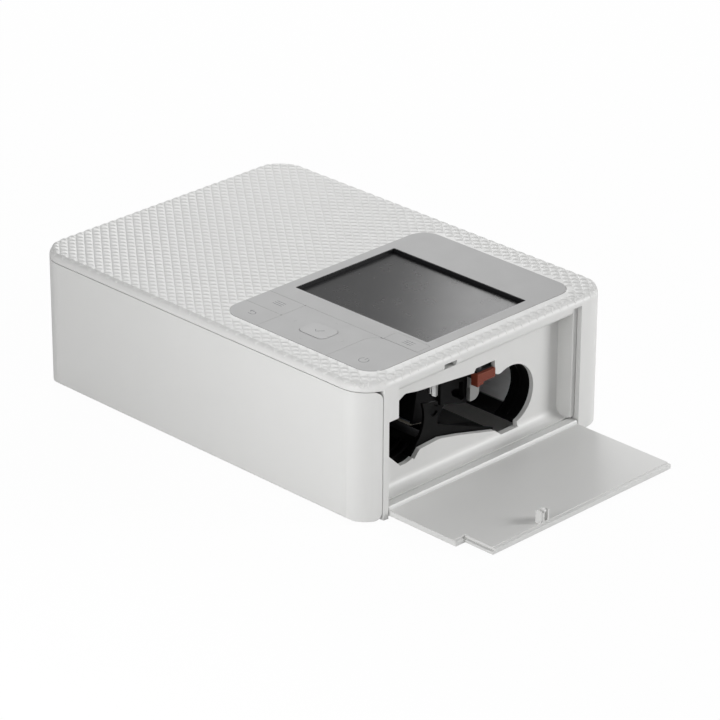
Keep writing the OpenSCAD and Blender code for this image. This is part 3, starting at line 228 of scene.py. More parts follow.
def build_brushed():
    """Fine brush lines of rolled or ground metal, along one axis."""
    group, start, end = new_group(
        "brushed",
        [("Colour", "NodeSocketColor", (0.6, 0.6, 0.62, 1)),
         ("Stretch", "NodeSocketVector", (60, 2400, 2400)),
         ("Roughness", "NodeSocketFloat", 0.3)],
        [("Colour", "NodeSocketColor"), ("Roughness", "NodeSocketFloat"), ("Height", "NodeSocketFloat")],
    )
    place = group.nodes.new("ShaderNodeTexCoord")
    stretch = group.nodes.new("ShaderNodeVectorMath")
    stretch.operation = "MULTIPLY"
    group.links.new(place.outputs["Object"], stretch.inputs[0])
    group.links.new(start.outputs["Stretch"], stretch.inputs[1])
    lines = add(group, "ShaderNodeTexNoise", Scale=1.0, Detail=3.0, Roughness=0.7)
    group.links.new(stretch.outputs["Vector"], lines.inputs["Vector"])
    shade = math_node(group, "ADD", math_node(group, "MULTIPLY", lines.outputs["Fac"], 0.24), 0.88)
    tone = add(group, "ShaderNodeHueSaturation")
    group.links.new(start.outputs["Colour"], tone.inputs["Color"])
    group.links.new(shade, tone.inputs["Value"])
    group.links.new(tone.outputs["Color"], end.inputs["Colour"])
    uneven = math_node(group, "MULTIPLY", math_node(group, "SUBTRACT", lines.outputs["Fac"], 0.5), 0.25)
    group.links.new(math_node(group, "ADD", start.outputs["Roughness"], uneven), end.inputs["Roughness"])
    group.links.new(lines.outputs["Fac"], end.inputs["Height"])
    return group


moulded_grain = build_moulded_grain()
edge_wear = build_edge_wear()
brushed = build_brushed()


# ---------------------------------------------------------------- materials

def bump(tree, shader, height, strength, distance):
    node = add(tree, "ShaderNodeBump", Strength=strength, Distance=distance)
    tree.links.new(height, node.inputs["Height"])
    tree.links.new(node.outputs["Normal"], shader.inputs["Normal"])


def plastic(name, colour, roughness=0.45, drift=0.03, grain=2200.0, depth=0.00004, strength=0.25,
            dust=0.0, wear=0.0, wear_colour=(0.9, 0.9, 0.9, 1), shine=0.5):
    material, tree, shader, _ = new_material(name)
    group = use_group(tree, moulded_grain, Colour=(*colour, 1), Grain_size=grain, Drift=drift,
                      Roughness=roughness, Dust=dust)
    colour_out = group.outputs["Colour"]
    if wear:
        rub = use_group(tree, edge_wear, Amount=wear)
        mix = add(tree, "ShaderNodeMix", data_type="RGBA")
        tree.links.new(rub.outputs["Mask"], mix.inputs["Factor"])
        tree.links.new(colour_out, mix.inputs[6])
        mix.inputs[7].default_value = wear_colour
        colour_out = mix.outputs[2]
    tree.links.new(colour_out, shader.inputs["Base Color"])
    tree.links.new(group.outputs["Roughness"], shader.inputs["Roughness"])
    shader.inputs["Specular IOR Level"].default_value = shine
    bump(tree, shader, group.outputs["Height"], strength, depth)
    return material


# painted shade: the tilt of the level, the soft edge and the black colour put on the low front of the bay's
# back sheet, which lies in shade
PAINTED_SHADE_SLOPE = (0, 0.3, 1)
PAINTED_SHADE_FADE = 0.4 * MM
PAINTED_SHADE_COLOUR = (0.012, 0.012, 0.012, 1)


def metal(name, colour, roughness=0.3, stretch=(60, 2400, 2400), strength=0.15, metallic=1.0,
          painted_shade_below=None):
    """Brushed metal; the optional level paints everything under it black as painted shade, measured up a
    tilted height.
    """
    material, tree, shader, _ = new_material(name)
    group = use_group(tree, brushed, Colour=(*colour, 1), Stretch=stretch, Roughness=roughness)
    colour_out = group.outputs["Colour"]
    # painted shade: the sheet turns black under the level
    if painted_shade_below is not None:
        place = tree.nodes.new("ShaderNodeTexCoord")
        height = tree.nodes.new("ShaderNodeVectorMath")
        height.operation = "DOT_PRODUCT"
        height.inputs[1].default_value = PAINTED_SHADE_SLOPE
        tree.links.new(place.outputs["Object"], height.inputs[0])
        above = tree.nodes.new("ShaderNodeMapRange")
        above.inputs["From Min"].default_value = painted_shade_below - PAINTED_SHADE_FADE
        above.inputs["From Max"].default_value = painted_shade_below + PAINTED_SHADE_FADE
        tree.links.new(height.outputs["Value"], above.inputs["Value"])
        mix = add(tree, "ShaderNodeMix", data_type="RGBA")
        tree.links.new(above.outputs["Result"], mix.inputs["Factor"])
        mix.inputs[6].default_value = PAINTED_SHADE_COLOUR
        tree.links.new(colour_out, mix.inputs[7])
        colour_out = mix.outputs[2]
    tree.links.new(colour_out, shader.inputs["Base Color"])
    tree.links.new(group.outputs["Roughness"], shader.inputs["Roughness"])
    shader.inputs["Metallic"].default_value = metallic
    bump(tree, shader, group.outputs["Height"], strength, 0.00002)
    return material


def rubber(name, colour):
    return plastic(name, colour, roughness=0.75, drift=0.1, grain=900.0, depth=0.00008, strength=0.4,
                   dust=0.4)


def screen_glass_material():
    """Dark display under a faintly dusty window."""
    material, tree, shader, _ = new_material("screen_glass")
    group = use_group(tree, moulded_grain, Colour=(0.014, 0.014, 0.015, 1), Grain_size=300.0, Drift=0.05,
                      Roughness=0.26, Dust=0.05)
    tree.links.new(group.outputs["Colour"], shader.inputs["Base Color"])
    tree.links.new(group.outputs["Roughness"], shader.inputs["Roughness"])
    shader.inputs["Specular IOR Level"].default_value = 0.15
    return material


def circuit_board():
    """Green resist over copper tracks."""
    material, tree, shader, _ = new_material("circuit_board")
    place = tree.nodes.new("ShaderNodeTexCoord")
    tracks = add(tree, "ShaderNodeTexBrick", Scale=260.0, offset=0.35)
    tracks.inputs["Color1"].default_value = (0.010, 0.085, 0.035, 1)
    tracks.inputs["Color2"].default_value = (0.012, 0.10, 0.042, 1)
    tracks.inputs["Mortar"].default_value = (0.03, 0.17, 0.07, 1)
    tracks.inputs["Mortar Size"].default_value = 0.035
    tree.links.new(place.outputs["Object"], tracks.inputs["Vector"])
    tree.links.new(tracks.outputs["Color"], shader.inputs["Base Color"])
    shader.inputs["Roughness"].default_value = 0.35
    bump(tree, shader, tracks.outputs["Fac"], 0.3, 0.00004)
    return material


WHITE = (0.70, 0.70, 0.69)

finish = {
    "case_white": plastic("case_white", WHITE, roughness=0.42, drift=0.02, depth=0.00003, dust=0.02),
    "base_grey": plastic("base_grey", (0.62, 0.62, 0.61), roughness=0.55, drift=0.04, dust=0.08),
    "panel_grey": plastic("panel_grey", (0.44, 0.44, 0.44), roughness=0.40, drift=0.015, depth=0.00002,
                          shine=0.1),
    "ok_grey": plastic("ok_grey", (0.44, 0.44, 0.44), roughness=0.36, drift=0.015, depth=0.00002, shine=0.1),
    "foot_rubber": rubber("foot_rubber", (0.045, 0.045, 0.047)),
    "platen_black": rubber("platen_black", (0.03, 0.03, 0.032)),
    "screw_black": metal("screw_black", (0.10, 0.10, 0.11), roughness=0.42),
    "pin_steel": metal("pin_steel", (0.62, 0.62, 0.64), roughness=0.24),
    "screen": screen_glass_material(),
    "sheet_steel": metal("sheet_steel", (0.55, 0.56, 0.58), roughness=0.34),
    # the sheet's low front is painted black as painted shade
    "bay_steel": metal("bay_steel", (0.93, 0.93, 0.94), roughness=0.42, stretch=(60, 900, 900), metallic=0.2,
                       painted_shade_below=22 * MM),
    "board_green": circuit_board(),
    "chip_black": plastic("chip_black", (0.03, 0.03, 0.032), roughness=0.5, grain=1500.0, dust=0.2),
    "black_gloss": plastic("black_gloss", (0.004, 0.004, 0.004), roughness=0.34, drift=0.2, grain=1400.0,
                           depth=0.00003, dust=0.1, shine=0.06),
    "lever_brown": plastic("lever_brown", (0.17, 0.036, 0.019), roughness=0.42, drift=0.08, dust=0.05,
                           wear=0.3, wear_colour=(0.34, 0.12, 0.07, 1), shine=0.25),
    # painted shade: the arm is white plastic lying in shade, coloured a dark grey to look shaded
    "arm_white": plastic("arm_white", (0.25, 0.25, 0.245), roughness=0.5, drift=0.04, dust=0.1),
    "gear_white": plastic("gear_white", (0.70, 0.70, 0.66), roughness=0.42, drift=0.04, dust=0.2),
    "arm_dark": plastic("arm_dark", (0.007, 0.007, 0.0072), roughness=0.5, drift=0.1, dust=0.1, shine=0.05),
    "sink_alu": metal("sink_alu", (0.58, 0.59, 0.61), roughness=0.38),
    "head_ceramic": plastic("head_ceramic", (0.62, 0.59, 0.52), roughness=0.3, drift=0.05),
    "cable_white": plastic("cable_white", (0.68, 0.68, 0.67), roughness=0.5, drift=0.05),
    "motor_can": metal("motor_can", (0.56, 0.56, 0.58), roughness=0.32, stretch=(1800, 90, 90)),
    "pinion_brass": metal("pinion_brass", (0.66, 0.47, 0.20), roughness=0.28),
    "inlet_black": plastic("inlet_black", (0.010, 0.010, 0.0105), roughness=0.45, dust=0.2, shine=0.2),
}
ink = plastic("printed_ink", (0.16, 0.16, 0.165), roughness=0.5, drift=0.1)
# painted shade: faint grey that stands for the light and shade of small raised arrow marks
arrow_mark_shade = plastic("arrow_mark_shade", (0.34, 0.34, 0.345), roughness=0.5, drift=0.1)

slot_of = {}
for part in frame["record"]["subparts"]:
    slot_of[part["node"]] = part["material_slot"]


# ---------------------------------------------------------------- soft edges on the moulded pieces

ROUND_STEPS = 2
SHARP_ANGLE = math.radians(35)
FLAT_ANGLE = math.radians(0.6)
WELD_DISTANCE = 2e-6


def softened(node, width, trim_y=None, vented=False):
    """Copy of a CAD piece with its triangles merged and a small round on every sharp edge."""
    source = nodes[node]
    mesh = source.data.copy()
    mesh.name = node + "_shell"
    work = bmesh.new()
    work.from_mesh(mesh)
    bmesh.ops.remove_doubles(work, verts=work.verts, dist=WELD_DISTANCE)
    if trim_y is not None:
        everything = work.verts[:] + work.edges[:] + work.faces[:]
        cut = bmesh.ops.bisect_plane(work, geom=everything, plane_co=(0, trim_y, 0), plane_no=(0, -1, 0),
                                     clear_outer=True)["geom_cut"]
        bmesh.ops.holes_fill(work, edges=[item for item in cut if isinstance(item, bmesh.types.BMEdge)])
    bmesh.ops.dissolve_limit(work, angle_limit=FLAT_ANGLE, verts=work.verts, edges=work.edges,
                             use_dissolve_boundaries=False)
    if vented:
        # walls full of openings are cut into plain faces, which the rounding keeps whole
        bmesh.ops.connect_verts_concave(work, faces=work.faces)
    work.to_mesh(mesh)
    work.free()
    piece = bpy.data.objects.new(node + "_shell", mesh)
    bpy.context.scene.collection.objects.link(piece)
    mesh.shade_smooth()
    rounding = piece.modifiers.new("edge_round", "BEVEL")
    rounding.width = width
    rounding.segments = ROUND_STEPS
    rounding.limit_method = "ANGLE"
    rounding.angle_limit = SHARP_ANGLE
    rounding.use_clamp_overlap = True
    rounding.miter_outer = "MITER_ARC"
    even = piece.modifiers.new("even_shading", "WEIGHTED_NORMAL")
    even.weight = 100
    flat = finished_mesh(piece)
    piece.modifiers.clear()
    piece.data = flat
    flat.materials.clear()
    flat.materials.append(finish[slot_of[node]])
    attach(piece, source["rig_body"])
    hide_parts(node)
    return piece


def finished_mesh(piece):
    """The piece with its modifiers applied, as a plain mesh."""
    graph = bpy.context.evaluated_depsgraph_get()
    graph.update()
    return bpy.data.meshes.new_from_object(piece.evaluated_get(graph), depsgraph=graph)


# ---------------------------------------------------------------- diamond relief on the top

PITCH_X = 5.18 * MM
PITCH_Y = 4.26 * MM
DIAMOND_HEIGHT = 0.3 * MM
DIAMOND_SHIFT = Vector((1.35, -0.75, 0)) * MM
DIAMOND_RINGS = 4
# share of half the pitch that a diamond reaches from its middle
DIAMOND_FILL = 0.98


def build_diamond_tree():
    """Low four-sided pillows on a staggered grid, kept off the panel and bent down over the rim."""
    tree = bpy.data.node_groups.new("diamond_relief", "GeometryNodeTree")
    for label, default in (("Pitch X", 0.005), ("Pitch Y", 0.004), ("Height", 0.0003), ("Edge", 0.003),
                           ("Panel edge", 0.001), ("Corner", 0.0128), ("Panel corner", 0.008),
                           ("Fillet", 0.0028), ("Wrap", 0.003)):
        socket = tree.interface.new_socket(label, in_out="INPUT", socket_type="NodeSocketFloat")
        socket.default_value = default
    for label in ("Shift", "Top middle", "Top size", "Panel middle", "Panel size"):
        tree.interface.new_socket(label, in_out="INPUT", socket_type="NodeSocketVector")
    tree.interface.new_socket("Finish", in_out="INPUT", socket_type="NodeSocketMaterial")
    tree.interface.new_socket("Geometry", in_out="OUTPUT", socket_type="NodeSocketGeometry")
    start = tree.nodes.new("NodeGroupInput").outputs
    end = tree.nodes.new("NodeGroupOutput")

    def value(operation, a, b=None):
        return math_node(tree, operation, a, b)

    def vector(operation, a, b=None):
        node = tree.nodes.new("ShaderNodeVectorMath")
        node.operation = operation
        for socket, item in zip(node.inputs, (a, b)):
            if item is not None:
                set_input(tree, socket, item)
        return node.outputs["Value" if operation == "LENGTH" else "Vector"]

    def split(item):
        node = tree.nodes.new("ShaderNodeSeparateXYZ")
        tree.links.new(item, node.inputs[0])
        return node.outputs

    def combine(x=0.0, y=0.0, z=0.0):
        node = tree.nodes.new("ShaderNodeCombineXYZ")
        for socket, item in zip(node.inputs, (x, y, z)):
            set_input(tree, socket, item)
        return node.outputs[0]

    def outline_distance(place, centre, size, corner):
        """Signed distance from a rounded rectangle, negative inside, and the way out of it."""
        half = vector("SCALE", size)
        half.node.inputs["Scale"].default_value = 0.5
        inner = vector("SUBTRACT", half, combine(corner, corner, 0.0))
        away = vector("SUBTRACT", place, centre)
        reach = split(vector("SUBTRACT", vector("ABSOLUTE", away), inner))
        outside = combine(value("MAXIMUM", reach[0], 0.0), value("MAXIMUM", reach[1], 0.0))
        inside = value("MINIMUM", value("MAXIMUM", reach[0], reach[1]), 0.0)
        way = vector("NORMALIZE", vector("MULTIPLY", outside, vector("SIGN", away)))
        return value("SUBTRACT", value("ADD", vector("LENGTH", outside), inside), corner), way

    size = split(start["Top size"])
    columns = value("ADD", value("CEIL", value("DIVIDE", size[0], start["Pitch X"])), 2.0)
    rows = value("ADD", value("CEIL", value("DIVIDE", size[1], start["Pitch Y"])), 2.0)
    both = []
    for shift in (0.0, 0.5):
        grid = tree.nodes.new("GeometryNodeMeshGrid")
        tree.links.new(value("MULTIPLY", columns, start["Pitch X"]), grid.inputs["Size X"])
        tree.links.new(value("MULTIPLY", rows, start["Pitch Y"]), grid.inputs["Size Y"])
        tree.links.new(value("ADD", columns, 1.0), grid.inputs["Vertices X"])
        tree.links.new(value("ADD", rows, 1.0), grid.inputs["Vertices Y"])
        move = tree.nodes.new("GeometryNodeSetPosition")
        tree.links.new(grid.outputs["Mesh"], move.inputs["Geometry"])
        stagger = combine(value("MULTIPLY", start["Pitch X"], shift),
                          value("MULTIPLY", start["Pitch Y"], shift))
        offset = vector("ADD", vector("ADD", start["Shift"], stagger), start["Top middle"])
        tree.links.new(offset, move.inputs["Offset"])
        both.append(move)
    joined = tree.nodes.new("GeometryNodeJoinGeometry")
    for move in both:
        tree.links.new(move.outputs["Geometry"], joined.inputs[0])
    points = tree.nodes.new("GeometryNodeMeshToPoints")
    tree.links.new(joined.outputs[0], points.inputs["Mesh"])
    place = tree.nodes.new("GeometryNodeInputPosition").outputs[0]
    from_edge, outwards = outline_distance(place, start["Top middle"], start["Top size"], start["Corner"])
    from_panel, _ = outline_distance(place, start["Panel middle"], start["Panel size"], start["Panel corner"])
    too_near_edge = value("GREATER_THAN", from_edge, value("MULTIPLY", start["Edge"], -1.0))
    too_near_panel = value("LESS_THAN", from_panel, start["Panel edge"])
    drop = tree.nodes.new("GeometryNodeDeleteGeometry")
    drop.domain = "POINT"
    tree.links.new(points.outputs[0], drop.inputs["Geometry"])
    tree.links.new(value("MAXIMUM", too_near_edge, too_near_panel), drop.inputs["Selection"])

    # one diamond: rings of a four-sided cone, swelled into a pillow with steep flanks
    cone = tree.nodes.new("GeometryNodeMeshCone")
    cone.fill_type = "NONE"
    cone.inputs["Vertices"].default_value = 4
    cone.inputs["Side Segments"].default_value = DIAMOND_RINGS
    cone.inputs["Radius Top"].default_value = 0.0
    cone.inputs["Radius Bottom"].default_value = DIAMOND_FILL
    cone.inputs["Depth"].default_value = 1.0
    here = split(tree.nodes.new("GeometryNodeInputPosition").outputs[0])
    swell = tree.nodes.new("GeometryNodeSetPosition")
    tree.links.new(cone.outputs["Mesh"], swell.inputs["Geometry"])
    rise = value("SUBTRACT", 1.0, value("POWER", value("SUBTRACT", 1.0, here[2]), 2.0))
    tree.links.new(combine(here[0], here[1], rise), swell.inputs["Position"])
    shaped = tree.nodes.new("GeometryNodeTransform")
    tree.links.new(swell.outputs["Geometry"], shaped.inputs["Geometry"])
    scale = combine(value("MULTIPLY", start["Pitch X"], 0.5), value("MULTIPLY", start["Pitch Y"], 0.5),
                    start["Height"])
    tree.links.new(scale, shaped.inputs["Scale"])
    stud = tree.nodes.new("GeometryNodeInstanceOnPoints")
    tree.links.new(drop.outputs["Geometry"], stud.inputs["Points"])
    tree.links.new(shaped.outputs["Geometry"], stud.inputs["Instance"])
    real = tree.nodes.new("GeometryNodeRealizeInstances")
    tree.links.new(stud.outputs["Instances"], real.inputs["Geometry"])

    # the sheet of diamonds bends down over the rounded rim, keeping its length
    whole = value("MAXIMUM", value("ADD", from_edge, start["Fillet"]), 0.0)
    past = value("MINIMUM", whole, start["Wrap"])
    turn = value("DIVIDE", past, start["Fillet"])
    sine, cosine = value("SINE", turn), value("COSINE", turn)
    above = value("SUBTRACT", split(place)[2], split(start["Top middle"])[2])
    lean = split(outwards)
    outward_step = value("ADD", value("SUBTRACT", value("MULTIPLY", start["Fillet"], sine), whole),
                         value("MULTIPLY", sine, above))
    down_step = value("MULTIPLY", value("SUBTRACT", cosine, 1.0), value("ADD", start["Fillet"], above))
    wrap = tree.nodes.new("GeometryNodeSetPosition")
    tree.links.new(real.outputs["Geometry"], wrap.inputs["Geometry"])
    bend = combine(value("MULTIPLY", lean[0], outward_step),
                   value("MULTIPLY", lean[1], outward_step), down_step)
    tree.links.new(bend, wrap.inputs["Offset"])
    coat = tree.nodes.new("GeometryNodeSetMaterial")
    tree.links.new(wrap.outputs["Geometry"], coat.inputs["Geometry"])
    tree.links.new(start["Finish"], coat.inputs["Material"])
    tree.links.new(coat.outputs["Geometry"], end.inputs["Geometry"])
    return tree


def from_tree(name, tree, settings, body):
    """Runs a geometry tree with the given inputs and keeps its result as a plain mesh on a body."""
    piece = bpy.data.objects.new(name, bpy.data.meshes.new(name))
    bpy.context.scene.collection.objects.link(piece)
    modifier = piece.modifiers.new("pattern", "NODES")
    modifier.node_group = tree
    for item in tree.interface.items_tree:
        if item.item_type == "SOCKET" and item.in_out == "INPUT" and item.name in settings:
            modifier[item.identifier] = settings[item.name]
    mesh = finished_mesh(piece)
    piece.modifiers.clear()
    piece.data = mesh
    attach(piece, body)
    return piece


def place_of(point, z):
    return (point.x, point.y, z)


from_tree(
    "diamond_relief",
    build_diamond_tree(),
    {
        "Pitch X": PITCH_X,
        "Pitch Y": PITCH_Y,
        "Height": DIAMOND_HEIGHT,
        "Edge": 0.1 * MM,
        "Fillet": 2.8 * MM,
        "Wrap": 3.5 * MM,
        "Panel edge": 1.4 * MM,
        "Corner": CASE_CORNER,
        "Panel corner": PANEL_CORNER,
        "Shift": DIAMOND_SHIFT,
        "Top middle": place_of(case_mid, top_z),
        "Top size": tuple(case_high - case_low),
        "Panel middle": place_of(panel_mid, top_z),
        "Panel size": tuple(panel_high - panel_low),
        "Finish": finish["case_white"],
    },
    "housing",
)


# ---------------------------------------------------------------- printed marks on the keys, and marks of painted shade

INK_THICK = 0.012 * MM


def ribbon(name, paths, width, z, body, finish_with=ink):
    """Flat printed lines, also used for lines of painted shade: each path is a list of points, with a flag
    when it closes on itself.
    """
    work = bmesh.new()
    for path, closed in paths:
        path = [Vector((x, y)) for x, y in path]
        count = len(path)
        rims = []
        for i, point in enumerate(path):
            before = path[(i - 1) % count] if closed or i else path[0]
            after = path[(i + 1) % count] if closed or i < count - 1 else path[-1]
            way = (after - before).normalized()
            side = Vector((-way.y, way.x)) * width / 2
            rims.append([work.verts.new((*(point + side * s), h)) for s, h in
                         ((1, z), (-1, z), (-1, z + INK_THICK), (1, z + INK_THICK))])
        pairs = list(zip(rims, rims[1:] + rims[:1])) if closed else list(zip(rims, rims[1:]))
        for a, b in pairs:
            for k in range(4):
                work.faces.new((a[k], b[k], b[(k + 1) % 4], a[(k + 1) % 4]))
        if not closed:
            work.faces.new(rims[0])
            work.faces.new(rims[-1])
    bmesh.ops.recalc_face_normals(work, faces=work.faces)
    mesh = bpy.data.meshes.new(name)
    work.to_mesh(mesh)
    work.free()
    mesh.materials.append(finish_with)
    piece = bpy.data.objects.new(name, mesh)
    bpy.context.scene.collection.objects.link(piece)
    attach(piece, body)
    return piece


def arc(centre, radius, start, stop, steps=24):
    return [(centre[0] + radius * math.cos(math.radians(start + (stop - start) * i / steps)),
             centre[1] + radius * math.sin(math.radians(start + (stop - start) * i / steps)))
            for i in range(steps + 1)]


# ---------------------------------------------------------------- small black blocks

def small_box(name, low, high, body, finish_with):
    """Plain block between two corners."""
    work = bmesh.new()
    bmesh.ops.create_cube(work, size=1.0)
    for vert in work.verts:
        vert.co = Vector([low[i] if vert.co[i] < 0 else high[i] for i in range(3)])
    mesh = bpy.data.meshes.new(name)
    work.to_mesh(mesh)
    work.free()
    mesh.materials.append(finish_with)
    piece = bpy.data.objects.new(name, mesh)
    bpy.context.scene.collection.objects.link(piece)
    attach(piece, body)
    return piece


def display_rims():
    """Black lining of the display's sunk window, four strips round the glass."""
    low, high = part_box("screen_glass")
    gap = 0.28 * MM
    top = panel_high.z - 0.08 * MM
    base = low.z + 0.4 * MM
    strips = (
        ((low.x - gap, low.y - gap), (low.x, high.y + gap)),
        ((high.x, low.y - gap), (high.x + gap, high.y + gap)),
        ((low.x, low.y - gap), (high.x, low.y)),
        ((low.x, high.y), (high.x, high.y + gap)),
    )
    for i, (a, b) in enumerate(strips):
        small_box("display_rim_%d" % (i + 1), (*a, base), (*b, top), "housing", finish["screen"])


def catch_floor():
    """Thin black floor of the latch clip, low enough for the door's hook to pass over it."""
    low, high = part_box("latch_catch")
    back_wall = 0.9 * MM
    side_wall = 1.1 * MM
    small_box("catch_floor", (low.x + back_wall, low.y + side_wall, low.z + 0.01 * MM),
              (high.x + 0.05 * MM, high.y - side_wall, low.z + 0.05 * MM),
              "housing", finish["inlet_black"])


display_rims()
catch_floor()


# ---------------------------------------------------------------- the marks themselves

# Middle of each mark, from the panel's front left corner
MARK_AT = {
    "menu_key": (11.3, 19.7),
    "back_key": (9.8, 6.9),
    "power_key": (69.0, 6.9),
    "edit_key": (70.2, 29.2),
    "ok_key": (39.4, 12.9),
}


def mark_place(node):
    along, deep = MARK_AT[node]
    return panel_low.x + along * MM, panel_low.y + deep * MM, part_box(node)[1].z


BAR_REACH = 2.4 * MM
BAR_STEP = 1.2 * MM
KNOB_REACH = 0.5 * MM


def menu_mark():
    x, y, z = mark_place("menu_key")
    rows = [y + s * BAR_STEP for s in (-1, 0, 1)]
    bars = [([(x - BAR_REACH, row), (x + BAR_REACH, row)], False) for row in rows]
    ribbon("menu_mark", bars, 0.42 * MM, z, "menu_key")


def back_mark():
    x, y, z = mark_place("back_key")
    hook = [(x - 1.6 * MM, y + 0.9 * MM), (x + 0.7 * MM, y + 0.9 * MM)]
    hook += arc((x + 0.7 * MM, y - 0.2 * MM), 1.1 * MM, 90, -90, 12)
    hook += [(x - 0.9 * MM, y - 1.3 * MM)]
    head = [(x - 0.6 * MM, y + 1.8 * MM), (x - 1.7 * MM, y + 0.9 * MM), (x - 0.6 * MM, y + 0.0 * MM)]
    ribbon("back_mark", [(hook, False), (head, False)], 0.36 * MM, z, "back_key")


def power_mark():
    x, y, z = mark_place("power_key")
    ring = arc((x, y), 1.9 * MM, 125, 415)
    bar = [(x, y + 0.5 * MM), (x, y + 2.3 * MM)]
    ribbon("power_mark", [(ring, False), (bar, False)], 0.38 * MM, z, "power_key")


def edit_mark():
    x, y, z = mark_place("edit_key")
    paths = []
    for s, knob in ((-1, 0.9), (0, -1.0), (1, 0.4)):
        row = y + s * BAR_STEP
        paths.append(([(x - BAR_REACH, row), (x + BAR_REACH, row)], False))
        spot = x + knob * MM
        paths.append(([(spot, row - KNOB_REACH), (spot, row + KNOB_REACH)], False))
    ribbon("edit_mark", paths, 0.3 * MM, z, "edit_key")


def ok_mark():
    x, y, z = mark_place("ok_key")
    tick = [(x - 1.7 * MM, y + 0.1 * MM), (x - 0.5 * MM, y - 1.2 * MM), (x + 1.8 * MM, y + 1.4 * MM)]
    ribbon("ok_mark", [(tick, False)], 0.45 * MM, z, "ok_key")


CHEVRON_DEPTH = 0.5 * MM
CHEVRON_REACH = 0.75 * MM


def arrow_marks():
    """Four small chevrons round the middle key, pointing outwards, in faint grey as painted shade of small
    raised arrow marks.
    """
    x, y, _ = mark_place("ok_key")
    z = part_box("arrow_key")[1].z
    paths = []
    for turn, reach in ((0, 12.9), (90, 9.6), (180, 12.9), (270, 9.6)):
        way = Vector((math.cos(math.radians(turn)), math.sin(math.radians(turn))))
        side = Vector((-way.y, way.x))
        tip = Vector((x, y)) + way * reach * MM
        foot = tip - way * CHEVRON_DEPTH
        paths.append(([foot + side * CHEVRON_REACH, tip, foot - side * CHEVRON_REACH], False))
    # the chevrons are lines of painted shade
    ribbon("arrow_marks", paths, 0.22 * MM, z, "arrow_key", arrow_mark_shade)


for make_mark in (menu_mark, back_mark, power_mark, edit_mark, ok_mark, arrow_marks):
    make_mark()


# ---------------------------------------------------------------- finishes on the CAD pieces

# Width of the small round on each piece's edges, in millimetres
SOFTENED = {
    "upper_case": 0.25,
    "front_cover": 0.35,
    "side_door": 0.3,
    "side_frame": 0.35,
    "ok_key": 0.2,
    "lock_lever": 0.3,
    "lock_arm": 0.2,
    "base_plate": 0.2,
    "ink_bay": 0.25,
    "head_arm": 0.2,
    "rubber_feet": 0.3,
}
# the arm's curved side is cut back to a straight edge
arm_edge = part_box("lock_arm")[0].y + 1.1 * MM
for node in nodes:
    if node in SOFTENED:
        softened(node, SOFTENED[node] * MM, trim_y=arm_edge if node == "lock_arm" else None,
                 vented=node == "upper_case")
    else:
        for socket in nodes[node].material_slots:
            socket.material = finish[slot_of[node]]


# ---------------------------------------------------------------- floor and light

WORLD_LEVEL = 0.26
FLOOR_SIZE = 8.0
FLOOR_WHITE = 0.97


def build_world():
    """Dim even light on surfaces, and plain white behind them and in their reflections."""
    world = bpy.data.worlds.new("studio")
    bpy.context.scene.world = world
    world.use_nodes = True
    tree = world.node_tree
    tree.nodes.clear()
    out = tree.nodes.new("ShaderNodeOutputWorld")
    soft = add(tree, "ShaderNodeBackground", Color=(1, 1, 1, 1), Strength=WORLD_LEVEL)
    seen = add(tree, "ShaderNodeBackground", Color=(1, 1, 1, 1), Strength=1.0)
    path = tree.nodes.new("ShaderNodeLightPath")
    seen_by = math_node(tree, "MAXIMUM", path.outputs["Is Camera Ray"],
                        math_node(tree, "MAXIMUM", path.outputs["Is Glossy Ray"],
                                  path.outputs["Is Transmission Ray"]))
    mix = tree.nodes.new("ShaderNodeMixShader")
    tree.links.new(seen_by, mix.inputs[0])
    tree.links.new(soft.outputs[0], mix.inputs[1])
    tree.links.new(seen.outputs[0], mix.inputs[2])
    tree.links.new(mix.outputs[0], out.inputs["Surface"])


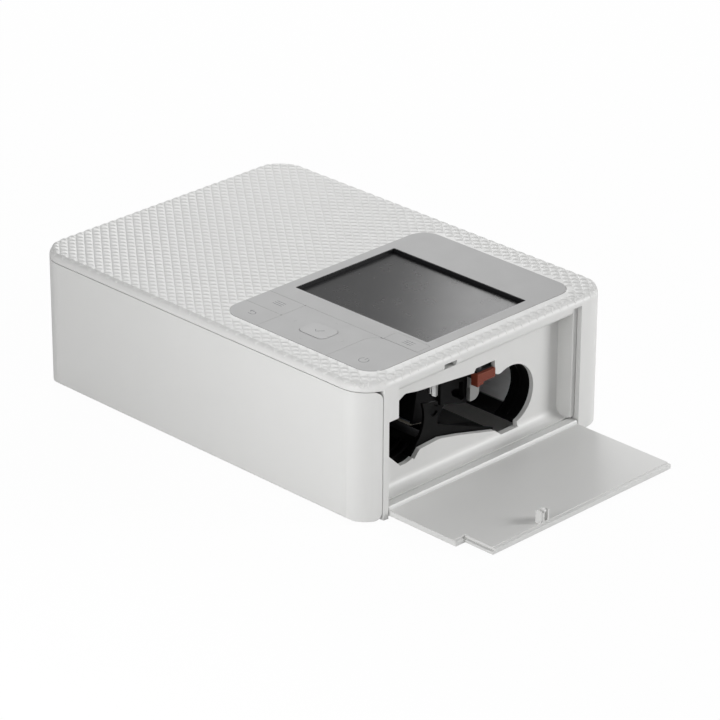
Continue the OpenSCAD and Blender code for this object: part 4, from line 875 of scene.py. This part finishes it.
def build_floor():
    """Pale floor that reads almost white to the camera, with only a faint shadow left on it."""
    bpy.ops.mesh.primitive_plane_add(size=FLOOR_SIZE)
    floor = bpy.context.object
    floor.name = "floor"
    material, tree, shader, out = new_material("floor_pale")
    shader.inputs["Base Color"].default_value = (0.86, 0.86, 0.86, 1)
    shader.inputs["Roughness"].default_value = 0.9
    white = add(tree, "ShaderNodeEmission", Color=(1, 1, 1, 1), Strength=1.0)
    path = tree.nodes.new("ShaderNodeLightPath")
    mix = tree.nodes.new("ShaderNodeMixShader")
    amount = math_node(tree, "MULTIPLY", path.outputs["Is Camera Ray"], FLOOR_WHITE)
    tree.links.new(amount, mix.inputs[0])
    tree.links.new(shader.outputs[0], mix.inputs[1])
    tree.links.new(white.outputs[0], mix.inputs[2])
    tree.links.new(mix.outputs[0], out.inputs["Surface"])
    floor.data.materials.append(material)


def area_light(name, place, target, size, power):
    lamp = bpy.data.lights.new(name, "AREA")
    lamp.shape = "RECTANGLE"
    lamp.size, lamp.size_y = size
    lamp.energy = power
    holder = bpy.data.objects.new(name, lamp)
    bpy.context.scene.collection.objects.link(holder)
    holder.location = place
    holder.rotation_euler = (Vector(target) - Vector(place)).to_track_quat("-Z", "Y").to_euler()
    return holder


build_world()
build_floor()

# Each lamp: its place, aim and size in metres, and its power in watts
LAMPS = {
    "key_light": ((0.78, 0.65, 0.42), (0, 0, 0.03), (0.4, 0.4), 6.3),
    "rear_light": ((-0.60, 0.50, 0.50), (0, 0, 0.03), (0.42, 0.42), 2.8),
    "front_light": ((0.10, -0.3965, 0.14), (0.08, -0.06, 0.03), (0.2, 0.2), 0.80),
    "sheen_light": ((-0.075, 0.325, 0.1805), (0.035, 0.02, 0.0574), (0.3, 0.4), 1.6),
}
lamps = {name: area_light(name, *settings) for name, settings in LAMPS.items()}

# the sheen lamp lights only the screen, which it makes lighter towards the right, and the rear lamp
# lights everything else
sheen = lamps["sheen_light"]
sheen.visible_diffuse = False
sheen.visible_camera = False
for lamp, name, state in ((sheen, "glass_only", "INCLUDE"),
                          (lamps["rear_light"], "all_but_glass", "EXCLUDE")):
    group = bpy.data.collections.new(name)
    group.objects.link(nodes["screen_glass"])
    group.collection_objects[0].light_linking.link_state = state
    lamp.light_linking.receiver_collection = group
